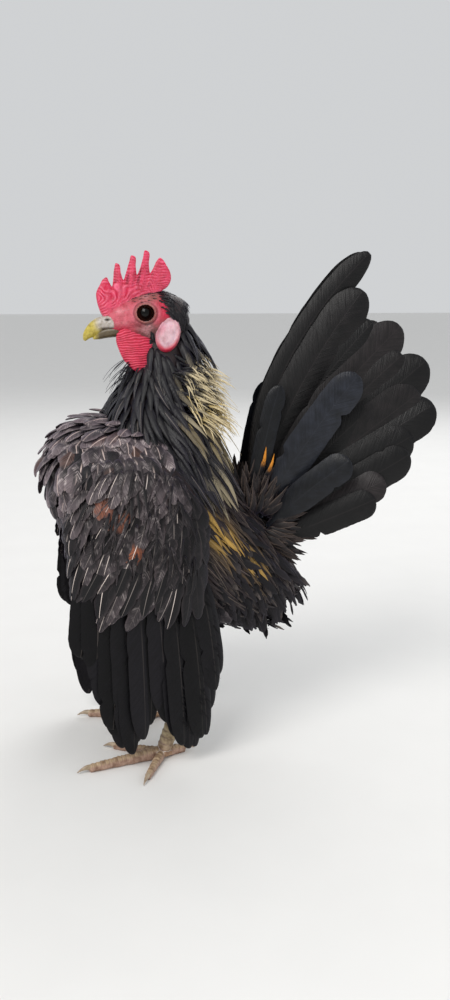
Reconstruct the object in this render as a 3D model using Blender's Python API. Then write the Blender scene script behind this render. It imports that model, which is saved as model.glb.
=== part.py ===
"""A serama cockerel as a life-size still model, standing with its breast thrown up and its wings hanging.

Metres, +Z up. The bird faces -Y, +X is its left side, and the floor is at Z = 0.
Each function below builds one part of the bird from a few named sizes. Places are written as
(forward, side, up) in millimetres from the middle of the stance, and side is positive to the bird's left.
"""

import math
import random

import bpy
import numpy as np
from mathutils import Matrix, Vector

# Driving dimensions, in millimetres unless a line says otherwise.
ORIGIN_FORWARD = -37.85  # middle of the bird's length, where the origin sits
SKIN_GAP = 0.35  # clear gap between touching parts
TAIL_GAP = 0.5  # the gap between the tail and the body that it grows from
TORSO_HALF_WIDTH = 37.0
TORSO_DEPTH = 46.0
HEAD_PLACE = (1.5, 0.0, 191.5)
HEAD_TURN = -7.0  # degrees, to the bird's right
EYE_RADIUS = 4.3
EYE_FORWARD = -0.3
EYE_SIDE = 5.2
EYE_UP = 1.3
COMB_THICKNESS = 4.6
FOOT_SIDE = 21.0
SHANK_RADIUS = 3.1
HOCK_UP = 45.0
TOE_RADIUS = 2.5
WING_SIDE = 41.5
VANE_THICKNESS = 0.9
SEED = 7

LEFT, RIGHT = 1, -1
SIDE_NAMES = {LEFT: "left", RIGHT: "right"}


def clear_scene():
    for obj in list(bpy.data.objects):
        bpy.data.objects.remove(obj, do_unlink=True)


def make_collection(name, hidden=False):
    collection = bpy.data.collections.new(name)
    bpy.context.scene.collection.children.link(collection)
    collection.hide_render = hidden
    return collection


def place(forward, side, up):
    """A point given as (forward, side, up) in millimetres, in world metres."""
    return Vector((side, -(forward - ORIGIN_FORWARD), up)) * 0.001


def make_material(name, colour, roughness, metallic=0.0):
    material = bpy.data.materials.new(name)
    material.use_nodes = True
    shader = material.node_tree.nodes["Principled BSDF"]
    shader.inputs["Base Color"].default_value = (*colour, 1.0)
    shader.inputs["Roughness"].default_value = roughness
    shader.inputs["Metallic"].default_value = metallic
    return material


def make_mesh_object(name, points, faces, collection):
    mesh = bpy.data.meshes.new(name)
    mesh.from_pydata([tuple(p) for p in points], [], faces)
    mesh.update()
    obj = bpy.data.objects.new(name, mesh)
    collection.objects.link(obj)
    return obj


def volume_of(points, faces):
    total = 0.0
    for face in faces:
        first = Vector(points[face[0]])
        for i in range(1, len(face) - 1):
            total += first.dot(Vector(points[face[i]]).cross(Vector(points[face[i + 1]])))
    return total / 6.0


def loft(name, rings, collection, caps=True):
    """A closed body through rings of equal count. Its ends close by a fan, or by one flat face without caps."""
    count = len(rings[0])
    points = [p for ring in rings for p in ring]
    faces = []
    for r in range(len(rings) - 1):
        for i in range(count):
            j = (i + 1) % count
            a, b = r * count + i, r * count + j
            c, d = a + count, b + count
            faces += [(a, b, d), (a, d, c)]
    last = (len(rings) - 1) * count
    if caps:
        for start, flip in ((0, True), (last, False)):
            middle = sum((points[start + i] for i in range(count)), Vector()) / count
            points.append(middle)
            hub = len(points) - 1
            for i in range(count):
                a, b = start + i, start + (i + 1) % count
                faces.append((b, a, hub) if flip else (a, b, hub))
    else:
        faces.append(tuple(reversed(range(count))))
        faces.append(tuple(range(last, last + count)))
    if volume_of(points, faces) < 0:
        faces = [tuple(reversed(face)) for face in faces]
    return make_mesh_object(name, points, faces, collection)


def smooth_values(keys, values, at):
    """Values of a smooth curve through (keys, values), by a monotone cubic at each key."""
    keys, values = np.asarray(keys, float), np.asarray(values, float)
    slopes = np.gradient(values, keys)
    index = np.clip(np.searchsorted(keys, at) - 1, 0, len(keys) - 2)
    span = keys[index + 1] - keys[index]
    t = (at - keys[index]) / span
    h00, h10 = 2 * t**3 - 3 * t**2 + 1, t**3 - 2 * t**2 + t
    h01, h11 = -2 * t**3 + 3 * t**2, t**3 - t**2
    return h00 * values[index] + h10 * span * slopes[index] + h01 * values[index + 1] + h11 * span * slopes[index + 1]


def spine_rings(stations, count, steps):
    """Rings along a spine. A station is (forward, side, up, half depth, half width).

    Each ring is an ellipse square to the spine, with its width along the bird's side axis
    as far as the spine allows.
    """
    stations = np.asarray(stations, float)
    keys = np.concatenate([[0], np.cumsum(np.linalg.norm(np.diff(stations[:, :3], axis=0), axis=1))])
    at = np.linspace(0, keys[-1], steps)
    smooth = np.array([smooth_values(keys, stations[:, k], at) for k in range(5)]).T
    tangents = np.gradient(smooth[:, :3], axis=0)
    rings = []
    for (forward, side, up, depth, width), along in zip(smooth, tangents):
        along = Vector(along).normalized()
        across = Vector((0, 1, 0))
        across = (across - along * across.dot(along)).normalized()
        over = along.cross(across)
        ring = []
        for i in range(count):
            angle = 2 * math.pi * i / count
            u = math.cos(angle) * max(width, 0.05)
            v = math.sin(angle) * max(depth, 0.05)
            ring.append(place(*(Vector((forward, side, up)) + across * u + over * v)))
        rings.append(ring)
    return rings


def vane(name, root, tip, normal, width, collection, bow=(0, 0, 0), steps=4, pointed=False,
         thickness=VANE_THICKNESS):
    """One feather: a flat blade along a bowed line from root to tip.

    normal is the way its face looks. A pointed blade narrows from its middle, as a hackle does, and
    any other keeps its width almost to a round tip.
    """
    root, tip, normal, bow = Vector(root), Vector(tip), Vector(normal), Vector(bow)
    middle = (root + tip) / 2 + bow
    rings = []
    for k in range(steps + 1):
        t = k / steps if pointed else min(1.0, 1.32 * k / steps - 0.32 * (k / steps) ** 3.2)
        spot = root * (1 - t) ** 2 + middle * 2 * t * (1 - t) + tip * t * t
        along = ((middle - root) * (1 - t) + (tip - middle) * t).normalized()
        across = along.cross(normal).normalized()
        out = across.cross(along)
        if pointed:
            half = width / 2 * (0.6 + 0.95 * t) * (1 - t**2.4) ** 0.8 + 0.35
        else:
            half = width / 2 * (0.5 + 0.5 * math.sin(math.pi * min(0.5, 0.9 * t))) * (1 - 0.6 * t**12)
        thick = thickness / 2 * (1 - 0.4 * t)
        section = ((-half, thick), (half, thick), (half, -thick), (-half, -thick))
        rings.append([place(*(spot + across * u + out * v)) for u, v in section])
    return loft(name, rings, collection, caps=False)


def apply_boolean(obj, operation, solver="MANIFOLD", other=None, group=None):
    modifier = obj.modifiers.new(operation.lower(), "BOOLEAN")
    modifier.operation = operation
    modifier.solver = solver
    if group is not None:
        modifier.operand_type = "COLLECTION"
        modifier.collection = group
    else:
        modifier.object = other
    bpy.context.view_layer.update()
    graph = bpy.context.evaluated_depsgraph_get()
    mesh = bpy.data.meshes.new_from_object(obj.evaluated_get(graph))
    obj.modifiers.remove(modifier)
    obj.data = mesh


def keep_largest(obj):
    """Leaves only the largest closed surface of the mesh, counting faces as joined where they share an edge."""
    mesh = obj.data
    leader = list(range(len(mesh.polygons)))

    def find(i):
        while leader[i] != i:
            leader[i] = leader[leader[i]]
            i = leader[i]
        return i

    first_face = {}
    for face in mesh.polygons:
        for key in face.edge_keys:
            other = first_face.setdefault(key, face.index)
            leader[find(face.index)] = find(other)
    groups = {}
    for face in mesh.polygons:
        groups.setdefault(find(face.index), []).append(tuple(face.vertices))
    points = [v.co.copy() for v in mesh.vertices]
    best = max(groups.values(), key=lambda faces: abs(volume_of(points, faces)))
    used = sorted({i for face in best for i in face})
    index = {old: new for new, old in enumerate(used)}
    whole = bpy.data.meshes.new(mesh.name)
    whole.from_pydata([points[i] for i in used], [], [tuple(index[i] for i in face) for face in best])
    whole.update()
    obj.data = whole


def fuse(node, body, pieces, bird):
    """Joins pieces to body as one closed mesh named node, and moves it to the bird's collection."""
    if pieces:
        group = bpy.data.collections.new(node + "_pieces")
        for piece in pieces:
            for old in list(piece.users_collection):
                old.objects.unlink(piece)
            group.objects.link(piece)
        apply_boolean(body, "UNION", group=group)
        for piece in pieces:
            bpy.data.objects.remove(piece, do_unlink=True)
        bpy.data.collections.remove(group)
    keep_largest(body)
    body.name = node
    for old in list(body.users_collection):
        old.objects.unlink(body)
    bird.objects.link(body)
    return body


def clearance_of(obj, cutters, by=SKIN_GAP):
    """A copy of obj grown outwards by the skin gap, for cutting a neighbour clear of it."""
    mesh = obj.data.copy()
    normals = [v.normal.copy() for v in mesh.vertices]
    for vertex, normal in zip(mesh.vertices, normals):
        vertex.co += normal * by * 0.001
    cutter = bpy.data.objects.new(obj.name + "_clearance", mesh)
    cutter.hide_render = True
    cutter.display_type = "WIRE"
    cutters.objects.link(cutter)
    return cutter


def cut_clear(obj, clearances):
    """Cuts obj back from each neighbour's clearance shape."""
    for clearance in clearances:
        apply_boolean(obj, "DIFFERENCE", other=clearance)
    keep_largest(obj)


def torso_surface(angle, share):
    """A point on the torso and its outward direction. angle turns round it and share runs from rump to breast."""
    stations = np.asarray(TORSO_STATIONS, float)
    keys = np.concatenate([[0], np.cumsum(np.linalg.norm(np.diff(stations[:, :3], axis=0), axis=1))])
    at = np.array([share * keys[-1], min(share * keys[-1] + 0.5, keys[-1])])
    values = np.array([smooth_values(keys, stations[:, k], at) for k in range(5)]).T
    along = Vector(values[1][:3] - values[0][:3]).normalized()
    across = Vector((0, 1, 0))
    over = along.cross(across)
    forward, side, up, depth, width = values[0]
    out = (across * math.cos(angle) / width + over * math.sin(angle) / depth).normalized()
    spot = Vector((forward, side, up)) + across * width * math.cos(angle) + over * depth * math.sin(angle)
    return spot, out, along


# The torso, from the rump to the breast: (forward, side, up, half depth, half width).
TORSO_STATIONS = (
    (-68, 0, 69, 4, 5),
    (-60, 0, 72, 14, 15),
    (-44, 0, 78, 24, 25),
    (-22, 0, 89, 0.74 * TORSO_DEPTH, 0.88 * TORSO_HALF_WIDTH),
    (0, 0, 105, 0.91 * TORSO_DEPTH, TORSO_HALF_WIDTH),
    (18, 0, 119.5, 0.78 * TORSO_DEPTH, TORSO_HALF_WIDTH),
    (32, 0, 126.5, 0.58 * TORSO_DEPTH, 0.84 * TORSO_HALF_WIDTH),
    (42, 0, 128.5, 0.38 * TORSO_DEPTH, 0.58 * TORSO_HALF_WIDTH),
    (48.5, 0, 129.5, 0.1 * TORSO_DEPTH, 0.14 * TORSO_HALF_WIDTH),
)


def build_torso(bird, loose, cutters):
    """The body, with its saddle feathers and the fluff under the tail, and the clearance of the bare body."""
    body = loft("torso", spine_rings(TORSO_STATIONS, 24, 15), loose)
    clearance = clearance_of(body, cutters)
    pieces = []
    draw = random.Random(SEED)
    for hand in (LEFT, RIGHT):
        for row, (count, share) in enumerate(((4, 0.33), (3, 0.27))):
            for k in range(count):
                angle = math.radians(60 - 20 * k - 10 * row)
                spot, out, along = torso_surface(angle, share - 0.02 * k)
                spot.y, out.y = spot.y * hand, out.y * hand
                lie = (-along + Vector((0, 0.2 * hand, -0.6 - 0.12 * k))).normalized()
                lie = (lie - out * lie.dot(out)).normalized()
                length = 27 + draw.uniform(-3, 3)
                tip = spot + lie * length + out * (1.6 + 1.0 * row)
                pieces.append(vane("saddle", spot - out * 2.2, tip, out, 9, loose, bow=out * 2.4, steps=3, pointed=True))
        for row in range(3):
            for k in range(3):
                angle = math.radians(-14 - 29 * k + 10 * row)
                spot, out, along = torso_surface(angle, 0.07 + 0.1 * row)
                spot.y, out.y = spot.y * hand, out.y * hand
                lie = (-along + out * 0.3 + Vector((0, 0, -0.4))).normalized()
                length = 18 + draw.uniform(-3, 3)
                pieces.append(vane("fluff", spot - out * 3, spot + lie * length + out * 1.5, out, 10.5, loose,
                                   bow=out * 1.5, steps=3, pointed=True))
    return fuse("torso", body, pieces, bird), clearance


# Hackle tiers from the top down: (height of the roots, length, how many, width).
HACKLE_TIERS = ((184, 20, 6, 8.5), (173, 26, 7, 9.5), (161, 32, 8, 10.0), (149, 34, 9, 10.0))
NECK_STATIONS = (
    (-1, 0, 138, 23, 25),
    (-2, 0, 150, 21, 21),
    (-4, 0, 163, 16, 15),
    (-6.5, 0, 175, 13.5, 11.5),
    (-7.5, 0, 185, 12.5, 10),
    (-9, 0, 195, 7.5, 7),
)


def build_neck(bird, loose):
    """The neck and its hackles: tiers of pointed feathers that hang back and down over the shoulders."""
    core = loft("neck", spine_rings(NECK_STATIONS, 16, 8), loose)
    stations = np.asarray(NECK_STATIONS, float)
    draw = random.Random(SEED + 1)
    pieces = []
    for tier, (up, length, count, width) in enumerate(HACKLE_TIERS):
        level = [np.interp(up, stations[:, 2], stations[:, k]) for k in (0, 3, 4)]
        for k in range(count):
            # The tiers run round the back and the sides, and leave the throat bare.
            turn = math.radians(-128 + 256 * (k + 0.5 * (tier % 2)) / (count - 0.5))
            out = Vector((-math.cos(turn), math.sin(turn), 0))
            root = Vector((level[0], 0, up)) + Vector((out.x * level[1], out.y * level[2], 0)) - out * 2.5
            back = max(0.0, math.cos(turn))
            reach = length * (0.9 + 0.2 * back) + draw.uniform(-2, 2)
            lie = Vector((out.x * 0.44 - 0.05, out.y * 0.44, -1)).normalized()
            tip = root + lie * reach + out * 1.6
            tilt = Vector((out.y, -out.x, 0)) * 0.25
            pieces.append(vane("hackle", root, tip, out + tilt + Vector((0, 0, 0.25)), width, loose,
                               bow=out * (2.0 + 1.5 * back), steps=3, pointed=True))
    return fuse("neck", core, pieces, bird)


def head_point(forward, side, up):
    """A place on the head, in millimetres from its middle, turned with the head."""
    turn = math.radians(HEAD_TURN)
    c, s = math.cos(turn), math.sin(turn)
    return (HEAD_PLACE[0] + forward * c - side * s, HEAD_PLACE[1] + forward * s + side * c, HEAD_PLACE[2] + up)


def head_rings(stations, count, steps, roundness=2.0):
    """Rings square to the head's length. A station is (forward, side, up, half depth, half width)."""
    stations = np.asarray(stations, float)
    keys = stations[:, 0]
    order = np.argsort(keys)
    at = np.linspace(keys.min(), keys.max(), steps)
    smooth = np.array([smooth_values(keys[order], stations[order, k], at) for k in range(5)]).T
    rings = []
    for forward, side, up, depth, width in smooth:
        ring = []
        for i in range(count):
            angle = 2 * math.pi * i / count
            c, s = math.cos(angle), math.sin(angle)
            u = math.copysign(abs(c) ** (2 / roundness), c) * max(width, 0.1)
            v = math.copysign(abs(s) ** (2 / roundness), s) * max(depth, 0.1)
            ring.append(place(*head_point(forward, side + u, up + v)))
        rings.append(ring)
    return rings


def build_eye(hand, bird, loose):
    middle = head_point(EYE_FORWARD, EYE_SIDE * hand, EYE_UP)
    bpy.ops.mesh.primitive_uv_sphere_add(segments=12, ring_count=8, radius=EYE_RADIUS * 0.001)
    ball = bpy.context.object
    ball.data.transform(Matrix.Translation(place(*middle)))
    return fuse("eye_" + SIDE_NAMES[hand], ball, [], bird)


def build_head(bird, loose):
    """The skull with its bare face, a lid ring round each eye."""
    stations = (
        (-18.8, 0, -3.2, 2.2, 2.0),
        (-16, 0, -3.0, 7.4, 6.5),
        (-10.5, 0, -1.6, 10.4, 9.0),
        (-4, 0, -0.8, 10.6, 9.3),
        (2, 0, -1.2, 9.4, 8.6),
        (8, 0, -1.8, 7.2, 6.6),
        (13, 0, -2.2, 5.2, 4.6),
        (15.5, 0, -2.5, 3.4, 3.2),
    )
    skull = loft("head", head_rings(stations, 18, 11), loose)
    pieces = []
    for hand in (LEFT, RIGHT):
        bpy.ops.mesh.primitive_torus_add(
            major_segments=14, minor_segments=5, major_radius=0.0046, minor_radius=0.0011,
            rotation=(0, math.radians(90), math.radians(HEAD_TURN)))
        lid = bpy.context.object
        bpy.ops.object.transform_apply(location=False, rotation=True, scale=True)
        lid.data.transform(Matrix.Translation(place(*head_point(EYE_FORWARD, (EYE_SIDE + 2.4) * hand, EYE_UP))))
        pieces.append(lid)
    return fuse("head", skull, pieces, bird)


def build_comb(bird, loose):
    """A single comb: a thick ridge with five tapering points and a rounded lobe behind."""
    half = COMB_THICKNESS / 2
    ridge_stations = (
        (19.2, 0, 3.4, 2.2, 0.8 * half),
        (17, 0, 5.0, 5.0, 1.25 * half),
        (12, 0, 7.8, 6.6, 1.3 * half),
        (6, 0, 10.4, 7.6, 1.1 * half),
        (-0.5, 0, 13.0, 8.0, 0.9 * half),
        (-5.5, 0, 15.0, 6.6, 0.9 * half),
        (-8.6, 0, 15.4, 4.8, 0.7 * half),
        (-10.2, 0, 15.6, 1.8, 0.3 * half),
    )
    ridge = loft("comb", head_rings(ridge_stations, 10, 11), loose)
    # Each point is (foot forward, foot up, tip forward, tip up, half length at its foot).
    points = ((15.8, 6.5, 15.6, 15.4, 2.6), (11.6, 10.0, 11.2, 21.4, 3.0), (6.4, 13.5, 5.0, 24.0, 3.2),
              (1.2, 16.5, -1.4, 27.0, 2.9), (-4.6, 18.0, -7.2, 23.6, 3.0))
    pieces = []
    for foot_forward, foot_up, tip_forward, tip_up, reach in points:
        rings = []
        for k in range(4):
            t = k / 3
            shrink = (1 - t**1.6) * 0.84 + 0.16
            ring = []
            for i in range(8):
                angle = 2 * math.pi * i / 8
                forward = foot_forward + (tip_forward - foot_forward) * t + reach * shrink * math.cos(angle)
                side = (half * 0.85 - 0.9 * t) * shrink**0.4 * math.sin(angle)
                up = foot_up + (tip_up - foot_up) * t
                ring.append(place(*head_point(forward, side, up)))
            rings.append(ring)
        pieces.append(loft("comb_point", rings, loose))
    return fuse("comb", ridge, pieces, bird)


def build_bill(bird, loose):
    """The two halves of the bill, whose gap is the line of the mouth, with a nostril cut in each side."""
    upper_stations = (
        (8.5, 0, -4.0, 1.6, 4.2),
        (12, 0, -3.0, 2.9, 4.5),
        (15.5, 0, -2.8, 3.1, 4.0),
        (19, 0, -3.8, 3.1, 3.2),
        (22.3, 0, -6.0, 2.6, 2.2),
        (24.6, 0, -8.4, 1.5, 1.2),
        (25.4, 0, -10.0, 0.5, 0.4),
    )
    upper = loft("bill_upper", head_rings(upper_stations, 12, 11, 2.3), loose)
    lower_stations = (
        (7.5, 0, -6.2, 2.0, 3.6),
        (12, 0, -6.3, 2.5, 3.7),
        (16.5, 0, -6.9, 2.4, 3.1),
        (20, 0, -8.3, 1.5, 2.0),
        (21.8, 0, -9.2, 0.6, 0.8),
    )
    lower = loft("bill_lower", head_rings(lower_stations, 10, 8), loose)
    upper = fuse("bill_upper", upper, [], bird)
    for hand in (LEFT, RIGHT):
        bpy.ops.mesh.primitive_uv_sphere_add(segments=8, ring_count=6, radius=0.0011)
        nostril = bpy.context.object
        nostril.data.transform(Matrix.Diagonal((0.8, 1.7, 0.8, 1.0)))
        nostril.data.transform(Matrix.Translation(place(*head_point(16.8, 4.0 * hand, -1.6))))
        apply_boolean(upper, "DIFFERENCE", other=nostril)
        bpy.data.objects.remove(nostril, do_unlink=True)
    return upper, fuse("bill_lower", lower, [], bird)


def build_wattle(hand, bird, loose):
    """A flat drop of skin under the jaw, with a soft fold down its face."""
    # Rows from the jaw down: (forward, up, half length, half thickness, side).
    rows = ((5.2, -6.5, 5.8, 1.7, 4.4), (4.2, -10, 7.8, 1.5, 5.0), (2.6, -14, 8.0, 1.4, 5.6),
            (1.2, -18, 7.0, 1.3, 6.0), (-0.2, -21.5, 4.8, 1.1, 6.2), (-1.2, -23.8, 2.0, 0.6, 6.2))
    rings = []
    for forward, up, reach, thick, side in rows:
        ring = []
        for i in range(10):
            angle = 2 * math.pi * i / 10
            fold = 0.45 * math.sin(3 * angle)
            ring.append(place(*head_point(forward + reach * math.cos(angle),
                                          (side + (thick + fold * 0.5) * math.sin(angle)) * hand, up)))
        rings.append(ring)
    return fuse("wattle_" + SIDE_NAMES[hand], loft("wattle", rings, loose), [], bird)


def build_earlobe(hand, bird, loose):
    """A pale oval lobe of skin below and behind the ear."""
    rings = []
    for k in range(6):
        t = math.pi * (0.06 + 0.88 * k / 5)
        ring = []
        for i in range(10):
            angle = 2 * math.pi * i / 10
            ring.append(place(*head_point(-9.6 + 5.0 * math.sin(t) * math.cos(angle),
                                          (8.0 + 2.1 * math.sin(t) * math.sin(angle)) * hand,
                                          -7.4 + 7.4 * math.cos(t))))
        rings.append(ring)
    return fuse("earlobe_" + SIDE_NAMES[hand], loft("earlobe", rings, loose), [], bird)


# Flight feathers of a wing, front to back: (root forward, root up, tip forward, tip up, tip side, width).
FLIGHT_FEATHERS = (
    (32, 100, 35.5, 57, 37.0, 11),
    (29, 99, 31.0, 52, 36.5, 11),
    (26, 98, 26.0, 36, 35.0, 12),
    (23, 97, 21.0, 17, 33.0, 12),
    (19, 96, 16.0, 11, 32.5, 12),
    (14, 95, 11.0, 14, 33.0, 12),
    (9, 94, 5.0, 26, 34.0, 12),
    (4, 93, -1.5, 24, 34.0, 12),
    (-1, 92, -8.0, 11, 32.5, 12),
    (-6, 93, -14.5, 9, 31.5, 12),
    (-10, 95, -19.5, 22, 32.0, 11),
    (-13, 98, -23.5, 43, 33.0, 11),
)
# On the right wing this feather, counted from the front, hangs lower, to this height.
LONG_FRONT_FEATHER = 2
LONG_FRONT_TIP = 9
# Covert tiers from the lowest up: (how many, height of the roots, length, how far out, width).
COVERT_TIERS = ((6, 101, 33, 1.6, 13.0), (5, 117, 27, 3.2, 13.5))


def build_wing(hand, bird, loose):
    """A wing that hangs down the side: its arm, the flight feathers below it and two tiers of coverts."""
    rings = []
    # The arm, from its top down: (forward, up, half length, half thickness, side).
    arm = ((11, 139, 9, 2.0, 30), (11, 133, 19, 4.5, 34), (11, 121, 26, 6.0, 38), (10.5, 108, 27, 5.6, 40.5),
           (9.5, 96, 25.5, 4.0, 41), (8.5, 87, 21, 2.0, 40.4))
    for forward, up, reach, thick, side in arm:
        ring = []
        for i in range(16):
            angle = 2 * math.pi * i / 16
            along = math.cos(angle)
            # Both edges curl in round the body.
            curl = -7.0 * max(0.0, along) ** 2 - 4.5 * max(0.0, -along) ** 2
            ring.append(place(forward + reach * along, (side + curl + thick * math.sin(angle)) * hand, up + 1.8 * along))
        rings.append(ring)
    body = loft("wing", rings, loose, caps=False)
    pieces = []
    for k, (root_forward, root_up, tip_forward, tip_up, tip_side, width) in enumerate(FLIGHT_FEATHERS):
        if hand == RIGHT and k == LONG_FRONT_FEATHER:
            tip_up = LONG_FRONT_TIP
        along = (root_forward - 12) / 26
        root_side = WING_SIDE - 1.2 - 6.5 * max(0.0, along) ** 2 - 4.5 * max(0.0, -along) ** 2
        # The rear edge of each feather lies under the next one, like shingles.
        facing = Vector((-0.4 + 0.4 * max(0.0, along), hand, 0.0))
        pieces.append(vane("flight", (root_forward, root_side * hand, root_up),
                           (tip_forward, tip_side * hand, tip_up), facing, width, loose,
                           bow=(0, 1.8 * hand, 0), steps=4))
    for number, up, length, lift, width in COVERT_TIERS:
        for k in range(number):
            share = (k + 0.5) / number
            forward = 32.5 - 42 * share
            along = (forward - 12) / 26
            side = WING_SIDE + lift - 7.0 * max(0.0, along) ** 2 - 4.5 * max(0.0, -along) ** 2
            tip = (forward + length * (0.30 - 0.56 * share), (side - 2.2) * hand, up - length)
            facing = Vector((-0.25 + 0.5 * along, hand, 0.12))
            pieces.append(vane("covert", (forward, (side - 3.6) * hand, up), tip, facing, width, loose,
                               bow=(0, 1.6 * hand, 0), steps=3))
    return fuse("wing_" + SIDE_NAMES[hand], body, pieces, bird)


# Tail feathers of one half, from the top down:
# (root forward, root up, tip forward, tip up, tip side, width, bow forward, bow up).
TAIL_FEATHERS = (
    (-43, 109, -97, 218, 4.0, 16, 22, 8),
    (-45, 109, -93, 202, 8.0, 17, 11, 4),
    (-47, 109, -109, 187, 12.0, 18, 4, 4),
    (-50, 107, -120, 172, 16.0, 19, 1, 3),
    (-53, 104, -123, 153, 19.5, 18, -1, 2),
    (-55, 99, -111, 132, 22.5, 16, -2, 1),
    (-55, 94, -95, 113, 24.5, 13, -2, 0),
)
# Tail coverts of one half, over the base of the feathers above, in the same terms.
TAIL_COVERTS = (
    (-44, 105, -46, 166, 13, 11, 3, 0),
    (-47, 104, -86, 167, 23, 14, 3, 3),
    (-50, 100, -82, 131, 27, 13, 1, 2),
)
# The root of one half of the tail, from the middle outwards: (side, half height).
TAIL_ROOT = ((0.2, 20), (5, 18), (9, 13), (12, 5))


def build_tail(hand, bird, loose):
    """One half of the upright tail: its root, a fan of broad feathers and a few coverts."""
    rings = []
    for side, reach in TAIL_ROOT:
        ring = []
        for i in range(14):
            angle = 2 * math.pi * i / 14
            ring.append(place(-47 + reach * math.cos(angle), side * hand, 102 + reach * math.sin(angle)))
        rings.append(ring)
    body = loft("tail", rings, loose)
    pieces = []
    for feathers, first_side, side_step in ((TAIL_FEATHERS, 1.6, 1.3), (TAIL_COVERTS, 8.2, 0.4)):
        for k, (root_f, root_u, tip_f, tip_u, tip_s, width, bow_f, bow_u) in enumerate(feathers):
            root = (root_f, (first_side + side_step * k) * hand, root_u)
            tip = (tip_f, tip_s * hand, tip_u)
            pieces.append(vane("rectrix", root, tip, (0.12, hand, 0.18), width, loose,
                               bow=(bow_f, 1.0 * hand, bow_u), steps=4))
    return fuse("tail_" + SIDE_NAMES[hand], body, pieces, bird)


# How far forward each foot stands.
STANCE = {LEFT: 0.0, RIGHT: -4.5}


def foot_root(hand):
    return (STANCE[hand], FOOT_SIDE * hand, 4.0)


def build_thigh(hand, bird, loose):
    """The feathered thigh, from the body down to the hock."""
    forward, side, _ = foot_root(hand)
    stations = (
        (forward - 9.5, side, HOCK_UP - 7, 2.6, 2.6),
        (forward - 9.0, side, HOCK_UP - 2, 5.2, 5.0),
        (forward - 7.5, side, HOCK_UP + 8, 8.5, 7.6),
        (forward - 5.5, side * 0.98, HOCK_UP + 20, 12.5, 9.5),
        (forward - 4.5, side * 0.9, HOCK_UP + 36, 16, 11.5),
    )
    return fuse("thigh_" + SIDE_NAMES[hand], loft("thigh", spine_rings(stations, 12, 7), loose), [], bird)


def build_shank(hand, bird, loose):
    """The bare scaled shank from the hock to the toes."""
    forward, side, up = foot_root(hand)
    stations = (
        (forward, side, up - 1.0, SHANK_RADIUS * 0.9, SHANK_RADIUS * 0.95),
        (forward - 0.8, side, up + 4, SHANK_RADIUS * 1.05, SHANK_RADIUS),
        (forward - 3.5, side, up + 16, SHANK_RADIUS, SHANK_RADIUS * 0.85),
        (forward - 7.0, side, up + 30, SHANK_RADIUS * 1.1, SHANK_RADIUS * 0.95),
        (forward - 9.3, side, HOCK_UP - 4, SHANK_RADIUS * 1.35, SHANK_RADIUS * 1.2),
        (forward - 9.8, side, HOCK_UP, SHANK_RADIUS * 0.9, SHANK_RADIUS * 0.9),
    )
    return fuse("shank_" + SIDE_NAMES[hand], loft("shank", spine_rings(stations, 8, 7), loose), [], bird)


# Toes: (name, degrees from straight ahead towards the bird's outer side, length, rise of its knuckle).
TOES = (("inner", -32, 24, 0.8), ("middle", 12, 34, 1.0), ("outer", 64, 22, 0.8), ("hind", 196, 11, 1.0))
TOE_TAPER = 0.38  # share of its radius that a toe loses on the way to its tip
TOE_DEPTH = 1.12  # a toe's depth against its width
CLAW_LENGTH = 6.5


def toe_line(hand, direction, length, t):
    """The middle of a toe at t from its root to its tip, and the way it points. Its pads reach the floor."""
    forward, side, _ = foot_root(hand)
    angle = math.radians(direction)
    ahead = Vector((math.cos(angle), math.sin(angle) * hand, 0))
    up = 0.94 * TOE_RADIUS * TOE_DEPTH * (1 - TOE_TAPER * t)
    return Vector((forward, side, 0)) + ahead * length * t + Vector((0, 0, up)), ahead


def build_foot(hand, bird, loose):
    """Four toes with padded joints, flat where they rest on the floor."""
    forward, side, up = foot_root(hand)
    palm_stations = (
        (forward + 3.5, side, 1.4, 2.0, 2.6), (forward + 1.0, side, 2.4, 3.6, 3.6), (forward - 2.0, side, 2.4, 3.2, 3.2),
        (forward - 4.0, side, 1.8, 1.6, 1.8))
    palm = loft("palm", spine_rings(palm_stations, 10, 5), loose)
    pieces = []
    for name, direction, length, knuckle in TOES:
        rings = []
        for k in range(6):
            t = k / 5
            spot, ahead = toe_line(hand, direction, length, t)
            across = Vector((-ahead.y, ahead.x, 0))
            radius = TOE_RADIUS * (1 - TOE_TAPER * t) * (1 + 0.1 * math.cos(2 * math.pi * 2.5 * t) ** 2)
            if k == 5:
                radius *= 0.75
            width = radius * (1.0 if k < 5 else 0.8)
            rise = knuckle * math.sin(math.pi * t)
            ring = []
            for i in range(6):
                angle = 2 * math.pi * (i + 0.5) / 6
                up = radius * TOE_DEPTH * math.sin(angle) + rise * max(0.0, math.sin(angle))
                ring.append(place(*(spot + across * width * math.cos(angle) + Vector((0, 0, up)))))
            rings.append(ring)
        pieces.append(loft("toe_" + name, rings, loose))
    foot = fuse("foot_" + SIDE_NAMES[hand], palm, pieces, bird)
    bpy.ops.mesh.primitive_cube_add(size=0.2, location=place(forward, side, -100))
    floor = bpy.context.object
    apply_boolean(foot, "DIFFERENCE", other=floor)
    bpy.data.objects.remove(floor, do_unlink=True)
    return foot


def build_claws(hand, bird, loose):
    claws = []
    for name, direction, length, _ in TOES:
        tip, ahead = toe_line(hand, direction, length, 1.0)
        rings = []
        for k in range(4):
            t = k / 3
            spot = tip + ahead * (CLAW_LENGTH * t - 1.6) + Vector((0, 0, 0.3 + 0.6 * math.sin(math.pi * t) - 1.1 * t**2))
            across = Vector((-ahead.y, ahead.x, 0))
            radius = 1.25 * (1 - t) ** 0.8 + 0.16
            rings.append([place(*(spot + across * radius * 0.75 * math.cos(a) + Vector((0, 0, radius * math.sin(a)))))
                          for a in (2 * math.pi * i / 5 for i in range(5))])
        claws.append(fuse(f"claw_{SIDE_NAMES[hand]}_{name}", loft("claw", rings, loose), [], bird))
    return claws


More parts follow.
